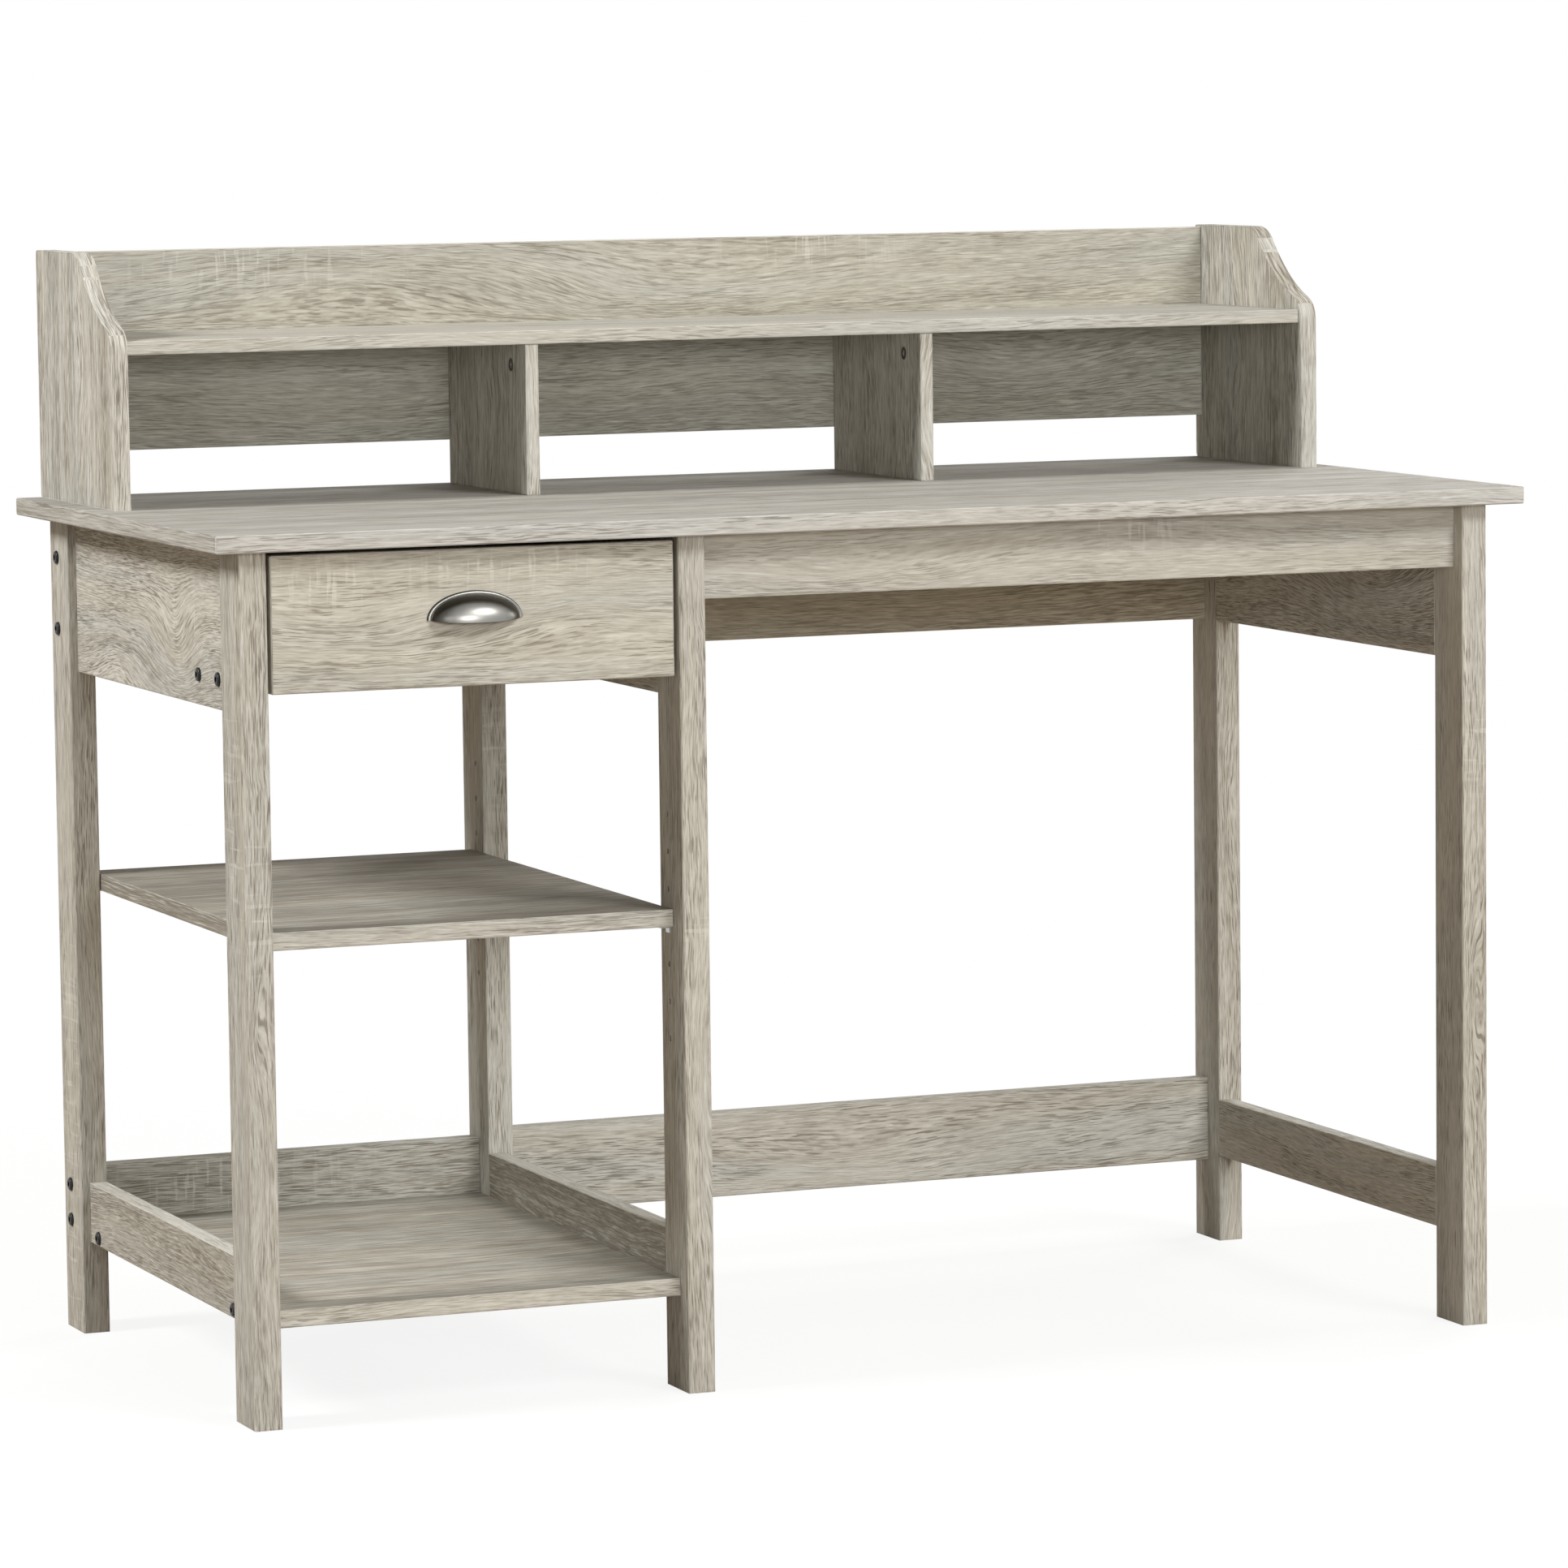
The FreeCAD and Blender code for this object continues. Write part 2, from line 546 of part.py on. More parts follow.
def half_oval(bands, offset):
    """Corners of half a flat oval in equal turns, from the right tip over the top to the left."""
    corners = []
    for i in range(bands + 1):
        turn = math.pi * i / bands
        across = f"(cup_half_width + {offset}) * {math.cos(turn):.5f}"
        up = f"(cup_radius + {offset}) * {math.sin(turn):.5f}"
        corners.append((across, "0" if i in (0, bands) else up))
    return corners


def cup_pull():
    """A quarter-turned oval shell with a flat rim round it and two screw bosses inside."""
    pull = new_body("cup_pull", ("pedestal_middle", "drawer_front_y", "pull_z"))
    x_axis = origin_part(pull, "X_Axis")
    bands = int(sizes.cup_bands)
    rim = extrude(pull, "rim", outline_sketch(pull, "rim_outline", "XZ_Plane",
                                              half_oval(bands, "rim_lap")), "rim_thickness")
    front = [f"Edge{i + 1}" for i, edge in enumerate(rim.Shape.Edges)
             if abs(edge.BoundBox.YMin - edge.BoundBox.YMax) < SAME_PLACE
             and abs(edge.CenterOfMass.y + sizes.rim_thickness) < SAME_PLACE
             and edge.CenterOfMass.z > SAME_PLACE]
    bead = pull.newObject("PartDesign::Chamfer", "rim_bead")
    bead.Base = (rim, front)
    bind(bead, Size="rim_bevel")
    doc.recompute()
    cup = pull.newObject("PartDesign::Revolution", "cup")
    cup.Profile = outline_sketch(pull, "cup_outline", "XZ_Plane", half_oval(bands, "0"))
    cup.ReferenceAxis = (x_axis, [""])
    bind(cup, Angle="lip_bow")
    doc.recompute()
    hollow = pull.newObject("PartDesign::Groove", "hollow")
    hollow.Profile = outline_sketch(pull, "hollow_outline", "XZ_Plane", half_oval(bands, "0 - cup_wall"))
    hollow.ReferenceAxis = (x_axis, [""])
    hollow.Angle = 360
    doc.recompute()
    for side in (-1, 1):
        x = f"{side} * pull_screw_spacing / 2"
        many_sided_feature(pull, "Additive", f"boss_{side + 1}", "pull_boss_dia", "pull_boss_length",
                           (x, "0", "pull_screw_rise"), "-Y")
        many_sided_feature(pull, "Subtractive", f"boss_hole_{side + 1}", "pull_screw_dia + 2 * bore_play",
                           "pull_screw_reach + end_play", (x, "0", "pull_screw_rise"), "-Y")
    doc.recompute()


def cup_pull_screws():
    """Two pan-head screws from inside the drawer, through its front into the bosses."""
    screw = headed_screw("pull_screw", "pull_head_dia", "pull_head_height", "pull_screw_dia",
                         "drawer_front_thickness + pull_screw_reach")
    places = []
    for side in (-1, 1):
        x = f"pedestal_middle + {side} * pull_screw_spacing / 2"
        at = (x, "drawer_back_of_front", "pull_screw_z")
        drawer_front.bore(at, "-Y", "pull_screw_dia + 2 * bore_play", "drawer_front_thickness")
        places.append((screw, at, "-Y"))
    group("cup_pull_screws", places)


cup_pull()
cup_pull_screws()


# ---------------------------------------------------------------- roller runners
def mirrored_x(side, formula):
    return formula if side == "left" else f"0 - ({formula})"


def side_x(side, left_formula_from_pedestal):
    """A distance inwards from the pedestal face of the side frame."""
    if side == "left":
        return f"pedestal_left + {left_formula_from_pedestal}"
    return f"middle_leg_x - ({left_formula_from_pedestal})"


def cabinet_runner(side):
    """A C channel on the apron with a riveted axle for the front roller."""
    inwards = "+X" if side == "left" else "-X"
    runner = new_body(f"cabinet_runner_{side}", (side_x(side, "0"), "channel_y", "channel_z"))
    ring = [("0", "0"), ("channel_flange", "0"), ("channel_flange", "runner_sheet"),
            ("runner_sheet", "runner_sheet"), ("runner_sheet", "channel_height - runner_sheet"),
            ("channel_flange", "channel_height - runner_sheet"), ("channel_flange", "channel_height"),
            ("0", "channel_height")]
    profile = [(x if x == "0" else mirrored_x(side, x), z) for x, z in ring]
    sketch = outline_sketch(runner, f"{runner.Label}_section", "XZ_Plane", profile)
    extrude(runner, f"{runner.Label}_channel", sketch, "runner_length", backwards=True)
    notch_x = "runner_sheet" if side == "left" else "0 - channel_flange"
    box_feature(runner, "Subtractive", f"{runner.Label}_notch",
                (notch_x, "0", "channel_height - runner_sheet"),
                ("channel_flange - runner_sheet", "roller_end_inset + roller_dia / 2 + roller_end_play",
                 "runner_sheet"))
    rivet(runner, inwards, mirrored_x(side, "runner_sheet"), "roller_end_inset",
          "front_roller_z - channel_z", "roller_web_gap")
    for i, y in enumerate(("runner_screw_inset", "runner_length - runner_screw_inset")):
        many_sided_feature(runner, "Subtractive", f"{runner.Label}_hole_{i + 1}",
                           "runner_head_dia + 2 * bore_play", "runner_sheet",
                           ("0", y, "channel_height / 2"), inwards)
    return runner


def rivet(runner, direction, shoulder, y, z, gap):
    """A shouldered axle: a boss across the gap to the roller, a shank through it and a head."""
    sign = 1 if direction == "+X" else -1
    boss_length = f"({gap} - roller_side_play)"
    shank_length = "(roller_width + 2 * roller_side_play)"
    name = runner.Label
    many_sided_feature(runner, "Additive", f"{name}_boss", "rivet_head_dia", boss_length,
                       (shoulder, y, z), direction)
    round_feature(runner, "Additive", f"{name}_axle", "rivet_dia", shank_length,
                  (f"{shoulder} + {sign} * {boss_length}", y, z), direction)
    many_sided_feature(runner, "Additive", f"{name}_rivet_head", "rivet_head_dia", "rivet_head",
                       (f"{shoulder} + {sign} * ({boss_length} + {shank_length})", y, z), direction)


def drawer_runner(side):
    """A folded strip under the drawer side: a ledge, a web and a track that runs on the roller."""
    outwards = "-X" if side == "left" else "+X"
    corner = (side_x(side, "runner_space"), "channel_y", "drawer_side_z")
    runner = new_body(f"drawer_runner_{side}", corner)
    track = "(track_z - drawer_side_z)"
    ring = [("0 - runner_sheet", "0 - runner_sheet"), ("runner_ledge", "0 - runner_sheet"),
            ("runner_ledge", "0"), ("0", "0"), ("0", f"{track} + runner_sheet"),
            ("0 - runner_sheet - track_width", f"{track} + runner_sheet"),
            ("0 - runner_sheet - track_width", track), ("0 - runner_sheet", track)]
    profile = [(x if x == "0" else mirrored_x(side, x), z) for x, z in ring]
    sketch = outline_sketch(runner, f"{runner.Label}_section", "XZ_Plane", profile)
    extrude(runner, f"{runner.Label}_strip", sketch, "runner_length", backwards=True)
    rivet(runner, outwards, mirrored_x(side, "0 - runner_sheet"), "runner_length - roller_end_inset",
          "rear_roller_z - drawer_side_z", "drawer_roller_gap")
    for i, y in enumerate(("runner_screw_inset", "runner_length - runner_screw_inset")):
        many_sided_feature(runner, "Subtractive", f"{runner.Label}_hole_{i + 1}",
                           "runner_screw_dia + 2 * bore_play", "runner_sheet",
                           (mirrored_x(side, "runner_ledge / 2"), y, "0 - runner_sheet"), "+Z")
    return runner


def roller(label, x, y, z):
    """A nylon wheel, bored for its axle, lying along +X from its left face."""
    wheel = new_body(label, (x, y, z))
    round_feature(wheel, "Additive", f"{label}_wheel", "roller_dia",
                  "roller_width", ("0", "0", "0"), "+X")
    round_feature(wheel, "Subtractive", f"{label}_bore", "rivet_dia + 2 * roller_bore_play",
                  "roller_width", ("0", "0", "0"), "+X")


ROLLER_FACES = {"left": "roller_x", "right": "middle_leg_x - (roller_x - pedestal_left) - roller_width"}
for side, left_face in ROLLER_FACES.items():
    cabinet_runner(side)
    drawer_runner(side)
    roller(f"cabinet_roller_{side}", left_face, "front_roller_y", "front_roller_z")
    roller(f"drawer_roller_{side}", left_face, "rear_roller_y", "rear_roller_z")


def runner_screws():
    """Flush screws through the channels into the aprons, pan heads up through the drawer ledges."""
    flush = headed_screw("channel_screw", "runner_head_dia", "runner_sheet", "runner_screw_dia",
                         "runner_screw_reach")
    pan = headed_screw("drawer_screw", "runner_head_dia", "runner_pan_height", "runner_screw_dia",
                       "runner_sheet + runner_screw_reach")
    in_aprons = []
    in_drawer = []
    hole = "runner_screw_dia + 2 * bore_play"
    depth = "runner_screw_reach + end_play"
    boxes = {"left": drawer_side_left, "right": drawer_side_right}
    rails = {"left": aprons["left"], "right": aprons["middle"]}
    for side in ("left", "right"):
        outwards = "-X" if side == "left" else "+X"
        for y in ("channel_y + runner_screw_inset", "channel_y + runner_length - runner_screw_inset"):
            z = "channel_z + channel_height / 2"
            rails[side].bore((side_x(side, "0"), y, z), outwards, hole, depth)
            in_aprons.append((flush, (side_x(side, "0"), y, z), outwards))
            x = side_x(side, "runner_space + runner_ledge / 2")
            boxes[side].bore((x, y, "drawer_side_z"), "+Z", hole, depth)
            in_drawer.append((pan, (x, y, "drawer_side_z - runner_sheet"), "+Z"))
    group("channel_screws", in_aprons)
    group("drawer_runner_screws", in_drawer)


runner_screws()


# ---------------------------------------------------------------- hutch
def hutch_side(label, x):
    """A side whose front edge sweeps up from the shelf to the high flat at the back."""
    side = Piece(label, (x, "hutch_rear_y", "desk_height"))
    body = side.body
    sketch = body.newObject("Sketcher::SketchObject", f"{label}_outline")
    sketch.AttachmentSupport = [(origin_part(body, "YZ_Plane"), "")]
    sketch.MapMode = "FlatFace"
    depth = sizes.hutch_side_depth
    high = sizes.hutch_height
    low = sizes.hutch_front_height
    flat = sizes.hutch_top_flat
    crown = sizes.crown_radius
    sweep = sizes.sweep_radius
    shoulder = sizes.shoulder_radius
    crown_at = Vector(-flat, high - crown, 0)
    shoulder_at = Vector(shoulder - depth, low, 0)
    # the sweep's centre lies where it is tangent to both smaller arcs
    across = shoulder_at.sub(crown_at)
    gap = across.Length
    far = crown + sweep
    near = shoulder + sweep
    along = (far ** 2 - near ** 2 + gap ** 2) / (2 * gap)
    off = math.sqrt(far ** 2 - along ** 2)
    unit = across.normalize()
    up = Vector(unit.y, -unit.x, 0)
    up = up if up.y > 0 else up.negative()
    sweep_at = crown_at + unit * along + up * off
    crown_end = crown_at + (sweep_at - crown_at).normalize() * crown
    shoulder_end = shoulder_at + (sweep_at - shoulder_at).normalize() * shoulder

    def arc(centre, radius, start, end):
        angles = [math.atan2(point.y - centre.y, point.x - centre.x) for point in (start, end)]
        return Part.ArcOfCircle(Part.Circle(centre, Vector(0, 0, 1), radius), *angles)

    flat_end = Vector(-flat, high, 0)
    front_top = Vector(-depth, low, 0)
    corner = [Vector(0, 0, 0), Vector(0, high, 0), Vector(-depth, 0, 0)]
    sketch.addGeometry(Part.LineSegment(corner[0], corner[1]), False)
    sketch.addGeometry(Part.LineSegment(corner[1], flat_end), False)
    sketch.addGeometry(arc(crown_at, crown, flat_end, crown_end), False)
    sketch.addGeometry(arc(sweep_at, sweep, shoulder_end, crown_end), False)
    sketch.addGeometry(arc(shoulder_at, shoulder, shoulder_end, front_top), False)
    sketch.addGeometry(Part.LineSegment(front_top, corner[2]), False)
    sketch.addGeometry(Part.LineSegment(corner[2], corner[0]), False)
    rules = [("Coincident", 0, 1, -1, 1), ("Coincident", 0, 2, 1, 1), ("Tangent", 1, 2, 2, 1),
             ("Tangent", 2, 2, 3, 2), ("Tangent", 3, 1, 4, 1), ("Tangent", 4, 2, 5, 1),
             ("Coincident", 5, 2, 6, 1), ("Coincident", 6, 2, 0, 1), ("Vertical", 0),
             ("Horizontal", 1), ("Vertical", 5), ("Horizontal", 6)]
    for rule in rules:
        sketch.addConstraint(Sketcher.Constraint(*rule))
    measures = [("high", ("DistanceY", 0, 1, 0, 2, high), "hutch_height"),
                ("deep", ("DistanceX", 6, 1, 6, 2, depth), "hutch_side_depth"),
                ("low", ("DistanceY", 5, 2, 5, 1, low), "hutch_front_height"),
                ("flat", ("DistanceX", 1, 2, 1, 1, flat), "hutch_top_flat"),
                ("crown", ("Radius", 2, crown), "crown_radius"),
                ("sweep", ("Radius", 3, sweep), "sweep_radius"),
                ("shoulder", ("Radius", 4, shoulder), "shoulder_radius")]
    for name, rule, alias in measures:
        number = sketch.addConstraint(Sketcher.Constraint(*rule))
        sketch.renameConstraint(number, name)
        sketch.setExpression(f"Constraints.{name}", bound(alias))
    pad = extrude(body, f"{label}_panel", sketch, "hutch_side_thickness")
    corners = [f"Edge{i + 1}" for i, edge in enumerate(pad.Shape.Edges)
               if abs(edge.tangentAt(edge.FirstParameter).x) > ALONG
               and abs(edge.CenterOfMass.y) < SAME_PLACE]
    fillet = body.newObject("PartDesign::Fillet", f"{label}_corners")
    fillet.Base = (pad, corners)
    bind(fillet, Radius="hutch_corner_radius")
    doc.recompute()
    return side


hutch_sides = {"left": hutch_side("hutch_side_left", "hutch_left_x"),
               "right": hutch_side("hutch_side_right", "hutch_inner_right")}
hutch_shelf = Board("hutch_shelf", ("hutch_inner_left", "hutch_shelf_y", "hutch_shelf_z"),
                    ("hutch_inner_width", "hutch_back_y - hutch_shelf_y", "hutch_board")
                    ).ease("board_easing")
hutch_back = Board("hutch_back", ("hutch_inner_left", "hutch_back_y", "hutch_back_z"),
                   ("hutch_inner_width", "hutch_board", "hutch_back_height")).ease("board_easing")
dividers = {side: Board(f"hutch_divider_{side}", (f"{side}_divider_x", "divider_y", "desk_height"),
                        ("hutch_board", "hutch_back_y - divider_y", "hutch_shelf_rise")
                        ).ease("board_easing")
            for side in ("left", "right")}


# ---------------------------------------------------------------- connector screws of the side frames
def connector_screw():
    """A flat head with a hexagon socket, over a buried shank."""
    solid = headed_screw("connector_blank", "screw_head_dia", "screw_head_height",
                         "screw_dia", "screw_length")
    socket = prism("screw_socket", "socket_across", "socket_depth", "socket_sides",
                   at=("0", "0", "0 - screw_head_height"))
    return cut("connector_screw", solid, socket)


screw = connector_screw()


def spread(middle, spacing):
    """Two places, equally far either side of the middle."""
    return [f"{middle} + {sign} * {spacing} / 2" for sign in (-1, 1)]


def drive(outer, thickness, mate, at, direction):
    """Bore both pieces for a connector screw and say where it goes."""
    x, y, z = at
    sign = 1 if direction == "+X" else -1
    hole = "screw_dia + 2 * bore_play"
    outer.bore(at, direction, hole, thickness, "buried_sides")
    mate.bore((f"{x} + {sign} * {thickness}", y, z), direction, hole,
              f"screw_length - {thickness} + end_play", "buried_sides")
    return (screw, at, direction)


def frame_screws():
    rear_y = "rear_rail_y + rail_thickness / 2"
    rail_ys = spread("(drawer_rail_y + drawer_rail_width / 2)", "drawer_rail_screw_spacing")
    rail_z = "drawer_rail_bottom + drawer_rail_thickness / 2"
    shelf_ys = ["side_rail_y + shelf_screw_inset", "rear_leg_y - shelf_screw_inset"]
    apron_zs = spread("(apron_bottom + apron_height / 2)", "apron_screw_spacing")
    left = []
    for z in apron_zs:
        left.append(drive(legs["rear", "left"], "leg_thickness", pedestal_back_apron,
                          ("left_leg_x", rear_y, z), "+X"))
    for z in spread("(low_rail_bottom + back_rail_height / 2)", "low_screw_spacing"):
        left.append(drive(legs["rear", "left"], "leg_thickness", pedestal_back_rail,
                          ("left_leg_x", rear_y, z), "+X"))
    middle = []
    for screws, side, face, direction in ((left, "left", "left_rail_x", "+X"),
                                          (middle, "middle", "middle_leg_x + rail_thickness", "-X")):
        for y in rail_ys:
            screws.append(drive(aprons[side], "rail_thickness", drawer_rail,
                                (face, y, rail_z), direction))
        for y in shelf_ys:
            screws.append(drive(low_rails[side], "rail_thickness", bottom_shelf,
                                (face, y, "shelf_screw_z"), direction))
    right = []
    for z in spread("(top_underside - front_rail_height / 2)", "front_rail_screw_spacing"):
        right.append(drive(legs["front", "right"], "leg_thickness", front_rail,
                           ("right_leg_out", "front_rail_y + rail_thickness / 2", z), "-X"))
    for z in apron_zs:
        right.append(drive(legs["rear", "right"], "leg_thickness", rear_apron,
                           ("right_leg_out", rear_y, z), "-X"))
    for z in spread("(stretcher_bottom + stretcher_height / 2)", "stretcher_screw_spacing"):
        right.append(drive(legs["rear", "right"], "leg_thickness", rear_stretcher,
                           ("right_leg_out", rear_y, z), "-X"))
    group("left_frame_screws", left)
    group("middle_frame_screws", middle)
    group("right_frame_screws", right)


frame_screws()


# ---------------------------------------------------------------- cam locks and their bolts
# the cam's barrel fills its hole but for a small play, and the bolt runs from its edge into the mate
cam = prism("cam_lock", "cam_dia - 2 * bore_play", "cam_depth", "open_sides")
bolt = prism("cam_bolt", "bolt_dia", "cam_centre - cam_dia / 2 + bolt_thread", "buried_sides")


def shifted(point, direction, distance):
    """A point moved along one of the six directions by a formula."""
    moved = list(point)
    axis = "XYZ".index(direction[1])
    sign = -1 if direction[0] == "-" else 1
    moved[axis] = f"{moved[axis]} + {sign} * ({distance})"
    return tuple(moved)


def cam_joint(piece, mate, edge_point, face_point, into_face, towards_mate):
    """Sink a cam in a face of one piece and run its bolt through the edge into its mate."""
    piece.bore(face_point, into_face, "cam_dia", "cam_depth")
    start = shifted(edge_point, towards_mate, "cam_dia / 2 - cam_centre")
    inside_cam = shifted(edge_point, towards_mate, "cam_dia / 2 - cam_centre - hole_lap")
    hole = "bolt_dia + 2 * bore_play"
    piece.bore(inside_cam, towards_mate, hole, "cam_centre - cam_dia / 2 + hole_lap", "buried_sides")
    mate.bore(edge_point, towards_mate, hole, "bolt_thread + end_play", "buried_sides")
    return (cam, face_point, into_face), (bolt, start, towards_mate)


def hutch_cams():
    cams = []
    # one cam near the front of each divider's left face, with its bolt up into the shelf
    for side, divider in dividers.items():
        x = f"{side}_divider_x"
        y = "divider_y + divider_cam_inset"
        cams.append(cam_joint(divider, hutch_shelf, (f"{x} + hutch_board / 2", y, "hutch_shelf_z"),
                              (x, y, "hutch_shelf_z - cam_centre"), "+X", "+Z"))
    for side, end, direction, inwards in (("left", "hutch_inner_left", "-X", 1),
                                          ("right", "hutch_inner_right", "+X", -1)):
        centre = f"{end} + {inwards} * cam_centre"
        # two under each end of the shelf and two behind each end of the back panel
        for y in ("hutch_shelf_y + hutch_cam_inset", "hutch_back_y - hutch_cam_inset"):
            cams.append(cam_joint(hutch_shelf, hutch_sides[side],
                                  (end, y, "hutch_shelf_z + hutch_board / 2"),
                                  (centre, y, "hutch_shelf_z"), "+Z", direction))
        for z in ("hutch_back_z + hutch_cam_inset", "hutch_back_z + hutch_back_height - hutch_cam_inset"):
            cams.append(cam_joint(hutch_back, hutch_sides[side],
                                  (end, "hutch_back_y + hutch_board / 2", z),
                                  (centre, "hutch_back_y + hutch_board", z), "-Y", direction))
    group("hutch_cam_locks", [pair[0] for pair in cams])
    group("hutch_cam_bolts", [pair[1] for pair in cams])


hutch_cams()


# ---------------------------------------------------------------- checks and export
def check_and_export():
    doc.recompute()
    for thing in doc.Objects:
        bad = [state for state in thing.State if state in ("Invalid", "Error")]
        if bad:
            raise RuntimeError(f"{thing.Label} is {bad[0]}")
    os.makedirs("parts", exist_ok=True)
    for part in subparts:
        shape = part.Shape
        if shape.isNull() or not shape.isValid() or not shape.Solids:
            raise RuntimeError(f"{part.Label} has no valid solid")
        shape.exportStep(f"parts/{part.Label}.step")
        print(f"{part.Label}: {len(shape.Solids)} solid(s), {shape.Volume / 1000:.1f} cm3")


check_and_export()
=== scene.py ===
import math

import bmesh
import bpy
from mathutils import Matrix, Vector


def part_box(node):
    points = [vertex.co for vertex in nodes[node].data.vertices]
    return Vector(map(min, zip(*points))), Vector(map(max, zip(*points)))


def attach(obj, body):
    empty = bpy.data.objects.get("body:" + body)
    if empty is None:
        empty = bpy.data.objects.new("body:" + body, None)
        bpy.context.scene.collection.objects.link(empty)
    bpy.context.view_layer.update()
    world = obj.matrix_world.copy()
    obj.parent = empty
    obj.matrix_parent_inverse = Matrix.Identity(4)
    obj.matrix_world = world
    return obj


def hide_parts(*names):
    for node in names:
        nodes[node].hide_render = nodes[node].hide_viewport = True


# A student desk in grey-washed oak laminate, with a hutch, one drawer and an open pedestal.
# Metres. +X runs from the pedestal to the knee space, +Y to the back, +Z up.

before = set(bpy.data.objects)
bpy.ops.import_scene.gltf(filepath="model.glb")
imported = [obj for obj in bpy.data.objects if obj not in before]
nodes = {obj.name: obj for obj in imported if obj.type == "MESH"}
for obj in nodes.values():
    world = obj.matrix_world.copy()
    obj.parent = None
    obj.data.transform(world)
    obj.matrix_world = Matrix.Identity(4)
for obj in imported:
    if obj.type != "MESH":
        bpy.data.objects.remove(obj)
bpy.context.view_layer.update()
MM = 0.001
AXES = "XYZ"


# ---------------------------------------------------------------- shader and geometry trees
class Value:
    """A socket that adds its own Math node when it is used in a sum."""

    def __init__(self, tree, socket):
        self.tree, self.socket = tree, socket

    def __add__(self, other):
        return self.tree.maths("ADD", self, other)

    def __sub__(self, other):
        return self.tree.maths("SUBTRACT", self, other)

    def __rsub__(self, other):
        return self.tree.maths("SUBTRACT", other, self)

    def __mul__(self, other):
        return self.tree.maths("MULTIPLY", self, other)

    def __truediv__(self, other):
        return self.tree.maths("DIVIDE", self, other)

    def __rtruediv__(self, other):
        return self.tree.maths("DIVIDE", other, self)

    def __pow__(self, other):
        return self.tree.maths("POWER", self, other)

    __radd__ = __add__
    __rmul__ = __mul__

    def __abs__(self):
        return self.tree.maths("ABSOLUTE", self)

    def least(self, other):
        return self.tree.maths("MINIMUM", self, other)

    def most(self, other):
        return self.tree.maths("MAXIMUM", self, other)

    def sine(self):
        return self.tree.maths("SINE", self)

    def cosine(self):
        return self.tree.maths("COSINE", self)

    def exponential(self):
        return self.tree.maths("EXPONENT", self)

    def remainder(self, other):
        return self.tree.maths("FLOORED_MODULO", self, other)

    def over(self, limit):
        return self.tree.maths("GREATER_THAN", self, limit)

    def equals(self, other, within):
        return self.tree.maths("COMPARE", self, other, within)

    def rise(self, low, high):
        """0 below low, 1 above high and a smooth step between; falls where low is above high."""
        if low > high:
            return 1 - self.rise(high, low)
        return self.tree.node("ShaderNodeMapRange", {"interpolation_type": "SMOOTHSTEP"},
                              {"Value": self, "From Min": low, "From Max": high})


class Tree:
    """A node tree and the one way in which its nodes are made."""

    def __init__(self, tree):
        self.tree = tree

    def node(self, kind, settings=None, sockets=None, out=0):
        """Make a node from its settings and then its sockets; out names one output, or several."""
        made = self.tree.nodes.new(kind)
        for name, setting in (settings or {}).items():
            if name == "stops":
                set_stops(made.color_ramp.elements, setting)
            else:
                setattr(made, name, setting)
        for name, entry in (sockets or {}).items():
            socket = made.inputs[name]
            if isinstance(entry, Value):
                self.tree.links.new(entry.socket, socket)
            else:
                socket.default_value = entry
        if isinstance(out, tuple):
            return [Value(self, made.outputs[name]) for name in out]
        return Value(self, made.outputs[out]) if len(made.outputs) else None

    def maths(self, operation, *terms):
        return self.node("ShaderNodeMath", {"operation": operation}, dict(enumerate(terms)))

    def vector(self, x, y, z):
        return self.node("ShaderNodeCombineXYZ", sockets={0: x, 1: y, 2: z})

    def parts(self, vector):
        return self.node("ShaderNodeSeparateXYZ", None, {0: vector}, out=(0, 1, 2))


def rgba(colour):
    return (*colour, 1.0)


def set_stops(elements, stops):
    """Give a colour ramp its places and colours."""
    while len(elements) < len(stops):
        elements.new(0.5)
    for element, (place, colour) in zip(elements, stops):
        element.position, element.color = place, rgba(colour)


# the Mix node's sockets for colours
COLOUR_A, COLOUR_B, COLOUR_OUT = 6, 7, 2


